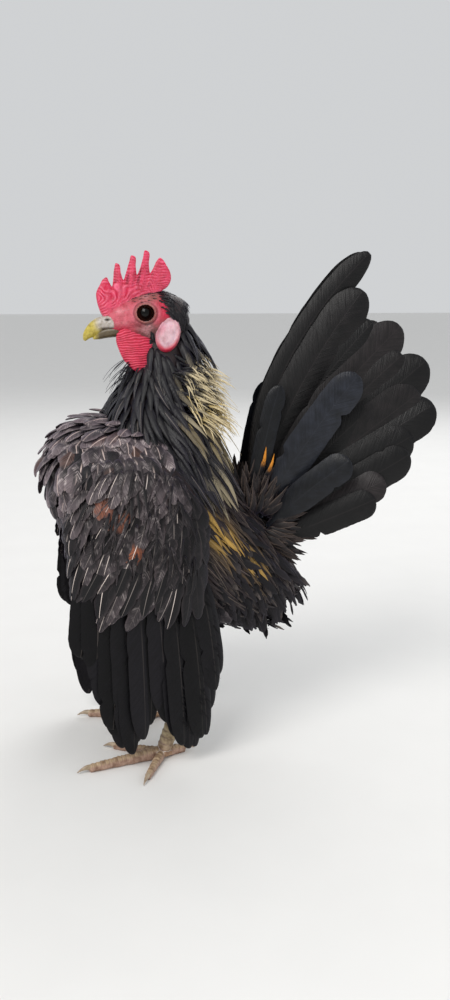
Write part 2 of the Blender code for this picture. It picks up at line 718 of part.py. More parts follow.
def main():
    clear_scene()
    bird = make_collection("serama_cockerel")
    cutters = make_collection("cutters", hidden=True)
    loose = make_collection("loose_pieces", hidden=True)
    feathers = make_material("black_feather", (0.022, 0.020, 0.024), 0.55)
    hackle = make_material("hackle_feather", (0.060, 0.048, 0.036), 0.6)
    comb_skin = make_material("comb_skin", (0.62, 0.05, 0.09), 0.45)
    lobe_skin = make_material("lobe_skin", (0.74, 0.42, 0.42), 0.5)
    horn = make_material("yellow_horn", (0.62, 0.45, 0.14), 0.4)
    scales = make_material("leg_scale", (0.52, 0.42, 0.22), 0.5)
    claw_horn = make_material("claw_horn", (0.42, 0.33, 0.22), 0.4)
    eye_black = make_material("eye", (0.03, 0.015, 0.01), 0.08)

    torso, torso_clearance = build_torso(bird, loose, cutters)
    tails = [build_tail(hand, bird, loose) for hand in (LEFT, RIGHT)]
    cut_clear(torso, [clearance_of(tail, cutters, by=TAIL_GAP) for tail in tails])
    for obj in (torso, *tails):
        obj.data.materials.append(feathers)
    eyes = [build_eye(hand, bird, loose) for hand in (LEFT, RIGHT)]
    head = build_head(bird, loose)
    cut_clear(head, [clearance_of(eye, cutters) for eye in eyes])
    bill_upper, bill_lower = build_bill(bird, loose)
    head_clearance = clearance_of(head, cutters)
    cut_clear(bill_upper, [head_clearance])
    upper_clearance = clearance_of(bill_upper, cutters)
    cut_clear(bill_lower, [head_clearance, upper_clearance])
    lower_clearance = clearance_of(bill_lower, cutters)
    comb = build_comb(bird, loose)
    cut_clear(comb, [head_clearance, upper_clearance])
    wattles = [build_wattle(hand, bird, loose) for hand in (LEFT, RIGHT)]
    lobes = [build_earlobe(hand, bird, loose) for hand in (LEFT, RIGHT)]
    # These come from the whole shapes, before the head cuts them to thin rims.
    wattle_clearances = [clearance_of(piece, cutters) for piece in wattles]
    lobe_clearances = [clearance_of(piece, cutters) for piece in lobes]
    for piece in wattles:
        cut_clear(piece, [head_clearance, lower_clearance, upper_clearance])
    for piece in lobes:
        cut_clear(piece, [head_clearance] + wattle_clearances)
    neck = build_neck(bird, loose)
    cut_clear(neck, [torso_clearance, head_clearance] + lobe_clearances + wattle_clearances)
    for obj in (head, comb, *wattles):
        obj.data.materials.append(comb_skin)
    for obj in lobes:
        obj.data.materials.append(lobe_skin)
    for obj in (bill_upper, bill_lower):
        obj.data.materials.append(horn)
    for obj in eyes:
        obj.data.materials.append(eye_black)
    neck.data.materials.append(hackle)
    for hand in (LEFT, RIGHT):
        thigh = build_thigh(hand, bird, loose)
        cut_clear(thigh, [torso_clearance])
        thigh_clearance = clearance_of(thigh, cutters)
        shank = build_shank(hand, bird, loose)
        cut_clear(shank, [thigh_clearance])
        shank_clearance = clearance_of(shank, cutters)
        foot = build_foot(hand, bird, loose)
        cut_clear(foot, [shank_clearance])
        foot_clearance = clearance_of(foot, cutters)
        for claw in build_claws(hand, bird, loose):
            cut_clear(claw, [foot_clearance])
            claw.data.materials.append(claw_horn)
        wing = build_wing(hand, bird, loose)
        cut_clear(wing, [torso_clearance, thigh_clearance])
        for obj in (thigh, wing):
            obj.data.materials.append(feathers)
        for obj in (shank, foot):
            obj.data.materials.append(scales)
    for obj in bird.objects:
        obj.data.shade_smooth()
        obj.data.set_sharp_from_angle(angle=math.radians(40))
    bpy.data.collections.remove(loose)


main()
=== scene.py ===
import math
from functools import partial

import bpy
import numpy as np
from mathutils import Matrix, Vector


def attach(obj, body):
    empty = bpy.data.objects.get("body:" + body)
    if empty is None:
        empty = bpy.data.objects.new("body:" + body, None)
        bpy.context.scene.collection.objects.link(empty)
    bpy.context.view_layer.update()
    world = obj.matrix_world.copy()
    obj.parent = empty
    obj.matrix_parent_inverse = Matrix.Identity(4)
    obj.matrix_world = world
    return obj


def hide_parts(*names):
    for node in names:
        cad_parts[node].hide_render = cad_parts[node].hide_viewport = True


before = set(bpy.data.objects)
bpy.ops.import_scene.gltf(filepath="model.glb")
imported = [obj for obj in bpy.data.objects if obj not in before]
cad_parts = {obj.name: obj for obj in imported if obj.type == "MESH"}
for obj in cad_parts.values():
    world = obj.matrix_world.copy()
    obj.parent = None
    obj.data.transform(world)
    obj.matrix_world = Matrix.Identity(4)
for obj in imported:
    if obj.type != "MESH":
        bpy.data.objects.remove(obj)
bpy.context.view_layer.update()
print("stage: frame loaded")

# Places are (forward, side, up) in millimetres, side positive to the bird's left, as in the part's source.
originForward = -37.85
mm = 0.001
leftHand, rightHand = 1, -1
handNames = {leftHand: "left", rightHand: "right"}
rootDepth = 0.8  # how deep the root of a feather sits in the skin


# Small tools.

def vector(forward, side, up):
    # Places or directions from their three parts, each an array or one number for all.
    return np.stack(np.broadcast_arrays(forward, side, up), -1).astype(float)


def toWorld(points):
    # World metres of (forward, side, up) in millimetres: x is side, y is minus forward, z is up.
    p = np.asarray(points, float)
    return vector(p[..., 1], -(p[..., 0] - originForward), p[..., 2]) * mm


def unit(v):
    # Each vector divided by its own length.
    v = np.asarray(v, float)
    return v / np.maximum(np.linalg.norm(v, axis=-1, keepdims=True), 1e-9)


def tangentLie(lie, out):
    # A direction laid into the surface: less its part along the normal.
    return unit(lie - out * np.sum(lie * out, -1, keepdims=True))


def smoothStep(low, high, x):
    # 0 below low, 1 above high, and between them 3 times the square less twice the cube of the way across.
    t = np.clip((x - low) / (high - low), 0, 1)
    return t * t * (3 - 2 * t)


def bulge(distance, width):
    # A round bump: e to the minus square of the distance over its width.
    return np.exp(-(distance / width) ** 2)


def foreAndAft(ahead, fore, aft):
    # fore times the square of a place ahead of the middle, aft times the square of one behind it.
    return fore * np.maximum(0, ahead) ** 2 + aft * np.maximum(0, -ahead) ** 2


def pair(a, b):
    # Two values side by side for each place.
    return np.stack(np.broadcast_arrays(a, b), -1)


def pick(keep, *arrays):
    # The chosen rows of each array.
    return [each[keep] for each in arrays]


def someOf(draw, share, low, high, count):
    # A random value from low to high for a share of the feathers, and 0 for the others.
    return np.where(draw.random(count) < share, draw.uniform(low, high, count), 0.0)


def curveThrough(keys, values, at):
    # Cubic curve through (keys, values): each span is a Hermite cubic with the slopes of its neighbours.
    keys, values, at = np.asarray(keys, float), np.asarray(values, float), np.asarray(at, float)
    if values.ndim == 2:
        return np.stack([curveThrough(keys, column, at) for column in values.T], -1)
    slopes = np.gradient(values, keys)
    i = np.clip(np.searchsorted(keys, at) - 1, 0, len(keys) - 2)
    span = keys[i + 1] - keys[i]
    t = (at - keys[i]) / span
    return ((2 * t**3 - 3 * t**2 + 1) * values[i] + (t**3 - 2 * t**2 + t) * span * slopes[i]
            + (3 * t**2 - 2 * t**3) * values[i + 1] + (t**3 - t**2) * span * slopes[i + 1])


def waveNoise(points, scale, seed=0):
    # Soft noise between -1 and 1: a sum of sine waves in fixed odd directions, so it needs no table.
    draw = np.random.default_rng(900 + seed)
    total = 0.0
    for k in range(6):
        way = unit(draw.normal(size=3)) * scale * (1 + 0.45 * k)
        total = total + np.sin(points @ way + draw.uniform(0, 6.28)) / (1 + 0.35 * k)
    return total / 3.0


def ringAngles(count):
    # Even angles round a full turn.
    return 2 * np.pi * np.arange(count) / count


# Meshes.

def ladderCap(start, count):
    # Quads that close a ring of an even count of points: rungs from each point to its mirror across the ring.
    j = np.arange(count // 2 - 1)
    return np.stack([start + j, start + j + 1, start + count - 2 - j, start + count - 1 - j], -1)


def tubeQuads(rows, around):
    # A closed tube: the four corners of each cell of a grid whose last column joins its first, and a ladder of
    # quads over each end.
    r, c = np.meshgrid(np.arange(rows - 1), np.arange(around), indexing="ij")
    d = (c + 1) % around
    cells = np.stack([r * around + c, r * around + d, (r + 1) * around + d, (r + 1) * around + c], -1)
    ends = ladderCap(0, around)[:, ::-1], ladderCap((rows - 1) * around, around)
    return np.concatenate([cells.reshape(-1, 4), *ends])


def signedVolume(points, quads):
    # Six times the volume that the quads enclose, by the corner products of their two triangles.
    a, b, c, d = (points[quads[:, k]] for k in range(4))
    return np.einsum("ij,ij->i", a, np.cross(b, c) + np.cross(c, d)).sum()


def makePiece(name, points, quads, maps, marks, rims=None):
    # A mesh object from arrays: points in millimetres, quads turned outwards by the sign of their volume, and maps
    # and marks with a row for each point. Edges that join two points of the same rim stay sharp.
    points, quads = np.asarray(points, float).reshape(-1, 3), np.asarray(quads)
    if signedVolume(points, quads) < 0:
        quads = quads[:, ::-1]
    mesh = bpy.data.meshes.new(name)
    mesh.vertices.add(len(points))
    mesh.vertices.foreach_set("co", toWorld(points).astype(np.float32).ravel())
    mesh.loops.add(quads.size)
    mesh.loops.foreach_set("vertex_index", quads.astype(np.int32).ravel())
    mesh.polygons.add(len(quads))
    mesh.polygons.foreach_set("loop_start", np.arange(0, quads.size, 4, dtype=np.int32))
    mesh.update(calc_edges=True)
    mesh.shade_smooth()
    for mapName, uv in maps.items():
        layer = mesh.uv_layers.new(name=mapName)
        layer.uv.foreach_set("vector", np.asarray(uv, np.float32).reshape(-1, 2)[quads.ravel()].ravel())
    for markName, mark in marks.items():
        layer = mesh.attributes.new(markName, "FLOAT_COLOR", "POINT")
        layer.data.foreach_set("color", np.asarray(mark, np.float32).ravel())
    if rims is not None:
        edges = np.empty(len(mesh.edges) * 2, np.int32)
        mesh.edges.foreach_get("vertices", edges)
        pair = rims[edges.reshape(-1, 2)]
        layer = mesh.attributes.get("sharp_edge") or mesh.attributes.new("sharp_edge", "BOOLEAN", "EDGE")
        layer.data.foreach_set("value", (pair[:, 0] == pair[:, 1]) & (pair[:, 0] > 0))
    piece = bpy.data.objects.new(name, mesh)
    bpy.context.scene.collection.objects.link(piece)
    return piece


def gridPiece(name, grid, tint=None, **maps):
    # A closed tube from a grid of rings, with a colour for each point.
    return makePiece(name, grid, tubeQuads(*grid.shape[:2]), maps, {} if tint is None else {"tint": tint})


def uniteInto(body, others):
    # Joins closed meshes into body as one closed surface.
    group = bpy.data.collections.new(body.name + "Parts")
    for other in others:
        bpy.context.scene.collection.objects.unlink(other)
        group.objects.link(other)
    modifier = body.modifiers.new("unite", "BOOLEAN")
    modifier.operation, modifier.solver = "UNION", "MANIFOLD"
    modifier.operand_type, modifier.collection = "COLLECTION", group
    bpy.context.view_layer.update()
    mesh = bpy.data.meshes.new_from_object(body.evaluated_get(bpy.context.evaluated_depsgraph_get()))
    body.modifiers.remove(modifier)
    body.data = mesh
    for other in others:
        bpy.data.objects.remove(other)
    bpy.data.collections.remove(group)


def finishPiece(piece, material, slot, *nodes):
    # Gives a piece its material, rides it on the model, and hides the solids it stands for. Its slot is not used.
    piece.data.materials.clear()
    piece.data.materials.append(material)
    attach(piece, "root")
    if nodes:
        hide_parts(*nodes)
    print("  ", piece.name, "faces", len(piece.data.polygons))


# Materials.

rgba = dict(data_type="RGBA")
ramp = dict(interpolation_type="SMOOTHSTEP")
multiply = dict(data_type="RGBA", blend_type="MULTIPLY")


def hexColour(text):
    # Linear RGBA of an sRGB hex colour: each channel follows the sRGB curve.
    c = np.array([int(text[k:k + 2], 16) for k in (1, 3, 5)]) / 255
    return (*np.where(c <= 0.04045, c / 12.92, ((c + 0.055) / 1.055) ** 2.4).tolist(), 1.0)


def layTints(shape, base, *layers):
    # Colours for a grid of points: the base, then each (share, colour) laid over it by its share at each point.
    tint = np.broadcast_to(np.array(hexColour(base)), (*shape, 4))
    for share, colour in layers:
        share = np.broadcast_to(share, shape)[..., None]
        tint = tint * (1 - share) + np.array(hexColour(colour)) * share
    return tint


def addNode(tree, kind, inputs=None, output=0, **settings):
    # Adds a shader node, or fills the one given as kind: each input takes a fixed value or the output that it is
    # linked to. Returns an output.
    node = tree.nodes.new("ShaderNode" + kind) if isinstance(kind, str) else kind
    for key, value in settings.items():
        setattr(node, key, value)
    for key, value in (inputs or {}).items():
        if isinstance(value, bpy.types.NodeSocket):
            tree.links.new(value, node.inputs[key])
        else:
            node.inputs[key].default_value = value
    return node.outputs[output]


def newMaterial(name):
    # A material with what adds nodes to its tree, its shader and its Object coordinates.
    material = bpy.data.materials.new(name)
    material.use_nodes = True
    add = partial(addNode, material.node_tree)
    return material, add, material.node_tree.nodes["Principled BSDF"], add("TexCoord", output="Object")


def tintedMaterial(name, look, stretch=None):
    # A surface in its points' own colours. Noise spreads a darker shade over them, and also drives gloss and relief;
    # stretch draws the noise out along an axis, and grain adds small bumps.
    material, add, shader, place = newMaterial(name)
    tint = add("Attribute", attribute_name="tint")
    if stretch:
        place = add("Mapping", {"Vector": place, "Scale": stretch})
    noise = height = add("TexNoise", {"Vector": place, **look["noise"]})
    shade = add("Mix", {0: 1.0, 6: tint, 7: hexColour(look["shade"])}, 2, **multiply)
    low, high, most = look["spread"]
    share = add("MapRange", {0: noise, 1: low, 2: high, 4: most})
    if "grain" in look:
        bumps = add("TexVoronoi", {"Vector": place, "Scale": look["grain"]}, feature="F1")
        height = add("Math", {0: bumps, 1: 0.5, 2: noise}, operation="MULTIPLY_ADD")
    add(shader, {
        "Base Color": add("Mix", {0: share, 6: tint, 7: shade}, 2, **rgba),
        "Roughness": add("MapRange", {0: noise, 3: look["rough"][0], 4: look["rough"][1]}),
        "Normal": add("Bump", {"Strength": look["bump"], "Distance": look["relief"], "Height": height}),
        **look["finish"]})
    return material


# The darkest colour is painted shade, laid between the barbs and over each vane's covered inner half. The whitish
# mottle colour is a painted highlight.
plainFeather = dict(dark="#1d1a1f", light="#332e36", paintedGrooveShade="#0b0a0c", edge="#4a4348", edgeShare=0.35, rust="#9a4f2a",
                    rustFrom=0.2, tip="#d8c08a", tipFrom=0.6, tipFull=0.85, tipBreak=0.35, shaft="#e6dcd8",
                    shaftWidth=0.5, barbShadeShare=0.45, rough=0.5, bump=0.5, sheen=0.25, sheenTint="#8f86a8",
                    specular=0.25, paintedGlint=0.0, paintedGlintTint="#b3a8a6", paintedInnerShade=0.75)


def featherMaterial(look):
    # Feather keratin, grown barb by barb. Melanin makes it near black, and its fine ribs give a soft satin gleam
    # with a faint violet or green cast. Map vane holds (distance off the shaft, place along it), both 0 to 1. Map
    # barbs holds millimetres off the shaft and along the barb. Marks: tone, pale tip, pale shaft, rust.
    look = {**plainFeather, **look}
    material, add, shader, place = newMaterial(look["name"])
    off = add("SeparateXYZ", {0: add("UVMap", uv_map="vane")})
    along = off.node.outputs[1]
    barbMap = add("UVMap", uv_map="barbs")
    offMm = add("SeparateXYZ", {0: barbMap})
    mark = add("Attribute", attribute_name="mark").node
    tone = add("SeparateColor", {0: mark.outputs["Color"]})
    pale, streak, rust = tone.node.outputs[1], tone.node.outputs[2], mark.outputs["Alpha"]
    # Barbs are 0.3 mm apart in life, and drawn about 0.7 mm apart to show.
    barbPlace = add("Mapping", {"Vector": barbMap, "Scale": (0.12, 1.4, 1.0)})
    barbs = add("TexNoise", {"Vector": barbPlace, "Scale": 1.0, "Detail": 2.0, "Roughness": 0.55})
    patches = add("TexNoise", {"Vector": place, "Scale": 240.0, "Detail": 3.0})
    toneSum = add("Math", {0: patches, 1: 0.5, 2: tone}, operation="MULTIPLY_ADD")
    lit = add("MapRange", {0: toneSum, 1: 0.25, 2: 1.1}, **ramp)
    # Painted shade in the grooves between barbs, where the barbs' noise is low.
    paintedGrooveShade = add("MapRange", {0: barbs, 1: 0.35, 2: 0.7, 3: look["barbShadeShare"], 4: 0.0}, **ramp)
    # Painted shade: the inner half, which the next row covers in part, is darkened as if in that row's shadow.
    inner = add("MapRange", {0: along, 1: 0.3, 2: 0.85, 3: look["paintedInnerShade"], 4: 0.0}, **ramp)
    edge = add("MapRange", {0: tone, 2: 0.6, 3: look["edgeShare"] * 0.3, 4: look["edgeShare"]})
    edge = add("MapRange", {0: off, 1: 0.55, 2: 1.0, 4: edge}, **ramp)
    layers = [(lit, "light"), (paintedGrooveShade, "paintedGrooveShade"), (inner, "paintedGrooveShade"), (edge, "edge")]
    if look["paintedGlint"] > 0:  # painted highlight: whitish mottles where light would catch the tips of barbs
        mottle = add("TexNoise", {"Vector": place, "Scale": 330.0, "Detail": 2.0})
        paintedGlint = add("MapRange", {0: tone, 1: 0.05, 2: 0.5, 4: look["paintedGlint"]}, **ramp)
        mottle = add("MapRange", {0: mottle, 1: 0.46, 2: 0.72, 4: paintedGlint}, **ramp)
        ribs = add("MapRange", {0: barbs, 1: 0.4, 2: 0.62}, **ramp)
        layers.append((add("Math", {0: mottle, 1: ribs}, operation="MULTIPLY"), "paintedGlintTint"))
    rustFrom = look["rustFrom"]
    band = add("MapRange", {0: along, 1: rustFrom, 2: rustFrom + 0.2, 4: rust}, **ramp)
    band = add("MapRange", {0: along, 1: 0.8, 2: 1.0, 3: band, 4: 0.0}, **ramp)
    ribs = add("MapRange", {0: barbs, 1: 0.25, 2: 0.6}, **ramp)
    band = add("Math", {0: band, 1: ribs}, operation="MULTIPLY")
    tipLine = add("Math", {0: barbs, 1: look["tipBreak"], 2: along}, operation="MULTIPLY_ADD")
    half = 0.5 * look["tipBreak"]
    tip = add("MapRange", {0: tipLine, 1: look["tipFrom"] + half, 2: look["tipFull"] + half, 4: pale}, **ramp)
    wide = look["shaftWidth"]
    shaftEdge = add("MapRange", {0: along, 3: wide, 4: wide * 0.3})
    shaft = add("Math", {0: offMm, 1: shaftEdge}, operation="DIVIDE")
    bare = add("MapRange", {0: along, 1: 0.2, 2: 0.5, 4: streak}, **ramp)
    shaft = add("MapRange", {0: shaft, 1: 0.5, 2: 1.3, 3: bare, 4: 0.0}, **ramp)
    body = hexColour(look["dark"])
    for share, colour in layers + [(band, "rust"), (tip, "tip"), (shaft, "shaft")]:
        body = add("Mix", {0: share, 6: body, 7: hexColour(look[colour])}, 2, **rgba)
    rough = add("MapRange", {0: barbs, 3: look["rough"] - 0.1, 4: look["rough"] + 0.12})
    height = add("Math", {0: shaft, 1: 0.8, 2: barbs}, operation="MULTIPLY_ADD")
    bump = add("Bump", {"Strength": look["bump"], "Distance": 0.0006, "Height": height})
    add(shader, {"IOR": 1.54, "Sheen Weight": look["sheen"], "Sheen Roughness": 0.45,
                 "Sheen Tint": hexColour(look["sheenTint"]), "Specular IOR Level": look["specular"],
                 "Base Color": body, "Roughness": rough, "Normal": bump})
    return material


# Feathers.

# For each kind of vane: the share of width at the quill and how fast it widens, and for the rounded ones where the
# end begins to round off, over what share of the length, by what power, and the least that is left.
roundedKinds = dict(
    round=(0.3, 2.6, 0.62, 0.385, 2, 0.012),  # a contour feather, full almost to a round end
    blade=(0.3, 2.2, 0.4, 0.605, 2.2, 0.012),  # a lower covert, long, with a tapered end
    broad=(0.12, 0, 0.86, 0.143, 2, 0.01),  # a tail feather: slim quill, wide vane, blunt end
    quill=(0.12, 0, 0.74, 0.263, 2.2, 0.01))  # a wing's flight feather: as broad, with a longer rounded point


def vaneProfile(kind, t):
    # Half width of a vane against its widest, at t from root to tip: a rise from the quill, times the root of one
    # less a power of the way through the end, or of one less a power of t for the pointed ones.
    if kind == "lance":  # a hackle: widest at a third, drawn out to a point
        return (0.35 + 0.65 * smoothStep(0, 0.3, t)) * np.clip(1 - t**2.2, 0.02, 1) ** 0.85
    if kind == "down":  # loose down
        return (0.4 + 0.6 * smoothStep(0, 0.25, t)) * np.clip(1 - t**3, 0.03, 1) ** 0.6
    quill, rise, endAt, endShare, power, least = roundedKinds[kind]
    start = np.minimum(quill + rise * t, 1.0) ** 0.8 if rise else quill + (1 - quill) * smoothStep(0.02, 0.42, t)
    return start * np.sqrt(np.clip(1 - np.clip((t - endAt) / endShare, 0, 1) ** power, least, 1))


plainVane = dict(half=2, kind="lance", camber=0.25, thick=0.35, rag=0.3)


def vaneShape(draw, count, hump, twist=0.0, sway=0.0, **rest):
    # The shape of a batch: a hump between two limits, then a twist and a sway about zero, drawn for each vane.
    shape = dict(plainVane, hump=draw.uniform(*hump, count) if isinstance(hump, tuple) else hump, **rest)
    for key, spread in (("twist", twist), ("sway", sway)):
        if spread:
            shape[key] = draw.normal(0, spread, count)
    return shape


def growVanes(root, tip, out, width, shape, mark, bake, tract):
    # A batch of vanes as arrays. Each is a closed strip. Its middle is the chord from root to tip, raised by hump
    # (millimetres, a parabola) towards out and bent by sway sideways with the square of the distance. Across, it
    # arches by camber and is a thin wedge, thick at the shaft and sharp at the rims. rag shortens the rims ring by
    # ring, and twist turns the vane about its shaft towards the tip.
    draw = np.random.default_rng(tract)
    count, rings, half = len(root), shape["rings"], shape["half"]
    t = 1 - (1 - np.linspace(0, 1, rings)) ** shape.get("tipDense", 1.5)
    s = np.concatenate([np.linspace(-1, 1, 2 * half + 1), np.linspace(1, -1, 2 * half + 1)[1:-1]])
    topSide = np.concatenate([np.ones(2 * half + 1), -np.ones(2 * half - 1)])
    full = (count, rings, len(s))
    along, across = t[None, :, None], s[None, None]
    chord = tip - root
    length = np.linalg.norm(chord, axis=-1)[:, None, None]
    lie = unit(chord)
    out = tangentLie(out, lie)
    acrossWay = np.cross(lie, out)
    hump, sway, twist = (np.broadcast_to(shape.get(key, 0.0), count)[:, None, None]
                         for key in ("hump", "sway", "twist"))
    middle = (root[:, None] + chord[:, None] * along + out[:, None] * hump * (4 * along * (1 - along))
              + acrossWay[:, None] * (sway * length) * (along**2 - along))
    ringLie = unit(np.gradient(middle, axis=1))
    ringOut = tangentLie(out[:, None], ringLie)
    ringAcross = np.cross(ringLie, ringOut)
    turn = twist * along
    ringAcross, ringOut = (ringAcross * np.cos(turn) + ringOut * np.sin(turn),
                           ringOut * np.cos(turn) - ringAcross * np.sin(turn))
    wide = (np.broadcast_to(width, count)[:, None] / 2 * vaneProfile(shape["kind"], t)[None])[..., None]
    jag = 1 - shape.get("rag", 0.0) * draw.random((count, rings, 2)) * smoothStep(0.1, 0.4, along)
    if "split" in shape:  # a notch in each rim where the barbs have parted
        gap = np.abs(along - draw.uniform(0.35, 0.92, (count, 1, 2)))
        jag = jag * (1 - shape["split"] * draw.random((count, 1, 2)) * bulge(gap, 0.022))
    sideJag = np.where(across < 0, jag[..., :1], jag[..., 1:])
    lean = shape.get("lean", 0.0)  # how far the shaft lies off the middle, as in a flight feather
    spread = (across + lean * across**2) * (wide * (1 + (sideJag - 1) * np.abs(across)))
    arch = shape["camber"] * wide * (1 - across**2)
    thin = shape["thick"] / 2 * (1 - across**2) * topSide * (1 - 0.6 * along)
    sweep = shape.get("sweep", 0.3) * wide * across**2 * (1 - along)
    points = (middle[:, :, None] + ringAcross[:, :, None] * spread[..., None]
              + ringOut[:, :, None] * (arch + thin)[..., None] + ringLie[:, :, None] * sweep[..., None])
    quads = (tubeQuads(rings, len(s))[None] + (np.arange(count) * rings * len(s))[:, None, None]).reshape(-1, 4)
    offShaft = np.abs(spread)
    vane = pair(np.broadcast_to(np.abs(s), full), along)
    barbs = pair(offShaft, length * along - 1.2 * offShaft + draw.uniform(0, 90, count)[:, None, None])
    cell = pair(across / 2, along - 0.5) * np.asarray(shape.get("patch", (0.003, 0.003)))
    bakeMap = np.asarray(bake, float)[:, None, None] + cell
    rims = np.broadcast_to(np.where(s <= -1, 1, np.where(s >= 1, 2, 0)), full)
    marks = np.broadcast_to(np.asarray(mark, float)[:, None, None], (*full, 4))
    return dict(points=points.reshape(-1, 3), quads=quads, vane=vane.reshape(-1, 2), barbs=barbs.reshape(-1, 2),
                bake=bakeMap.reshape(-1, 2), rims=rims.ravel(), marks=marks.reshape(-1, 4))


def coatPiece(name, batches, look, slot, *nodes):
    # Joins batches of vanes into one piece, with the maps that its material and its bake read.
    starts = np.cumsum([0] + [len(b["points"]) for b in batches])
    quads = np.concatenate([b["quads"] + start for b, start in zip(batches, starts)])
    both = {key: np.concatenate([b[key] for b in batches]) for key in batches[0] if key != "quads"}
    piece = makePiece(name, both["points"], quads, dict(vane=both["vane"], barbs=both["barbs"], OFBake=both["bake"]),
                      dict(mark=both["marks"]), both["rims"])
    finishPiece(piece, featherMaterial(look), slot, *nodes)


def makeMarks(tone, pale=0.0, streak=0.0, rust=0.0):
    # Marks for a batch, one row for each vane: tone, pale tip, pale shaft and rust, each 0 to 1.
    return np.stack([np.broadcast_to(np.asarray(v, float), len(tone)) for v in (tone, pale, streak, rust)], -1)


# Surfaces that carry the coat.

def alongLine(points, count, size=None):
    # Rows carried in even steps along a smooth curve through their places, the first size columns.
    points = np.asarray(points, float)
    keys = np.concatenate([[0], np.cumsum(np.linalg.norm(np.diff(points[:, :size], axis=0), axis=1))])
    return curveThrough(keys, points, np.linspace(0, keys[-1], count))


def spineGrid(stations, around, along, inset=0.0, square=2.0):
    # A tube on a spine. A station is (forward, side, up, half depth, half width). Each ring is a superellipse
    # square to the spine, whose width lies along the side axis, and inset draws it in all round.
    line = alongLine(stations, along, 3)
    way = unit(np.gradient(line[:, :3], axis=0))
    across = unit(np.array([0, 1.0, 0]) - way * way[:, 1:2])
    over = np.cross(way, across)
    c, s = np.cos(ringAngles(around)), np.sin(ringAngles(around))
    c, s = np.sign(c) * np.abs(c) ** (2 / square), np.sign(s) * np.abs(s) ** (2 / square)
    depth, width = np.maximum(line[:, 3] - inset, 0.3), np.maximum(line[:, 4] - inset, 0.3)
    return (line[:, None, :3] + across[:, None] * (width[:, None] * c)[..., None]
            + over[:, None] * (depth[:, None] * s)[..., None])


def surfaceOf(grid):
    # A grid with its outward normals, from the cross product of its two directions.
    normal = unit(np.cross(np.roll(grid, -1, 1) - np.roll(grid, 1, 1), np.gradient(grid, axis=0)))
    if np.sum((grid - grid.mean(1, keepdims=True)) * normal) < 0:
        normal = -normal
    return dict(grid=grid, normal=normal)


def onSurface(surface, u, v):
    # Place and outward normal at u round the tube (0 to 1, from the left side) and v along it, by bilinear steps.
    rows, columns = surface["grid"].shape[:2]
    a, b = np.mod(u, 1) * columns, np.clip(v, 0, 1) * (rows - 1)
    i, j = np.floor(b).astype(int).clip(0, rows - 2), np.floor(a).astype(int) % columns
    fb, fa = (b - i)[:, None], (a - np.floor(a))[:, None]
    k = (j + 1) % columns
    p, normal = ((g[i, j] * (1 - fa) + g[i, k] * fa) * (1 - fb) + (g[i + 1, j] * (1 - fa) + g[i + 1, k] * fa) * fb
                 for g in (surface["grid"], surface["normal"]))
    return p, unit(normal)


def nearSurface(surface, points):
    # Each point dropped on to the surface: along the normal of the nearest grid point, to its tangent plane.
    flat, normals = surface["grid"].reshape(-1, 3), surface["normal"].reshape(-1, 3)
    nearest = np.concatenate([np.argmin(((part[:, None] - flat[None]) ** 2).sum(-1), 1)
                              for part in np.array_split(points, max(1, len(points) // 400))])
    away = np.sum((points - flat[nearest]) * normals[nearest], -1, keepdims=True)
    return points - normals[nearest] * away, normals[nearest]


def coatPlaces(surface, coat, draw, jitter=0.25):
    # Staggered places: each row along the tube holds as many as its arc between two turns has room for. Returns
    # their turns and their shares of the length, and the points and outward normals there.
    us, vs = [], []
    rowsAt = np.arange(*coat["rows"])
    for number, v in enumerate(rowsAt):
        turn = np.linspace(*coat["around"], 60)
        line, _ = onSurface(surface, turn, np.full(60, v))
        arc = np.concatenate([[0], np.cumsum(np.linalg.norm(np.diff(line, axis=0), axis=1))])
        count = max(int(arc[-1] / coat["spacing"]), 1)
        at = (np.arange(count) + 0.25 + 0.5 * (number % 2) + draw.uniform(-jitter, jitter, count)) * arc[-1] / count
        us.append(np.interp(at, arc, turn))
        vs.append(np.full(count, v))
    u, v = np.concatenate(us), np.concatenate(vs)
    v = v + draw.uniform(-0.3, 0.3, len(v)) * abs(rowsAt[1] - rowsAt[0])
    return u, v, *onSurface(surface, u, v)


def scatter(draw, lie, out, spread):
    # Directions in the surface, each turned sideways at random.
    return unit(lie + np.cross(lie, out) * draw.normal(0, spread, (len(lie), 1)))


def layCoat(surface, p, out, lie, length, lift):
    # Roots, tips and humps of vanes that follow a surface: a tip is the place reached along the lie, dropped on
    # to the surface and raised by lift, and the hump is what lifts the middle of the chord clear of it.
    ground, normal = nearSurface(surface, p + lie * length[:, None])
    root, tip = p - out * rootDepth, ground + normal * lift[:, None]
    middle = (root + tip) / 2
    ground, normal = nearSurface(surface, middle)
    return root, tip, np.clip(np.sum((ground - middle) * normal, -1) + 0.45 * lift, 0.0, 4.0)


# Body outlines, as in the part's source: (forward, side, up, half depth, half width). The skin lies inside them by
# the depth of the coat.
torsoStations = [(-68, 0, 69, 4, 5), (-60, 0, 72, 14, 15), (-44, 0, 78, 24, 25), (-22, 0, 89, 34, 32.6),
                 (0, 0, 105, 41.9, 37), (18, 0, 119.5, 35.9, 37), (32, 0, 126.5, 26.7, 31.1),
                 (42, 0, 128.5, 17.5, 21.5), (48.5, 0, 129.5, 4.6, 5.2)]
neckStations = [(-1, 0, 132, 23, 25), (-2, 0, 150, 21, 21), (-4, 0, 163, 16, 15), (-6.5, 0, 175, 13.5, 11.5),
                (-7.5, 0, 185, 12.5, 10), (-9, 0, 195, 7.5, 7)]
torsoDepth, neckDepth = 4.0, 2.6
torsoLength, neckLength = 136.0, 65.0
torsoGrid = spineGrid(torsoStations, 96, 90, torsoDepth)
torsoGrid[..., 0] = -5 + (torsoGrid[..., 0] + 5) * 0.95
torsoSkin = surfaceOf(torsoGrid)
neckSkin = surfaceOf(spineGrid(neckStations, 80, 60, neckDepth))
print("stage: surfaces")


# Breast, back and vent. In each coat, rows gives the first and last row as shares of the body's length and the step
# between rows, around the turns where a row starts and ends, and spacing, length, width and lift are millimetres.

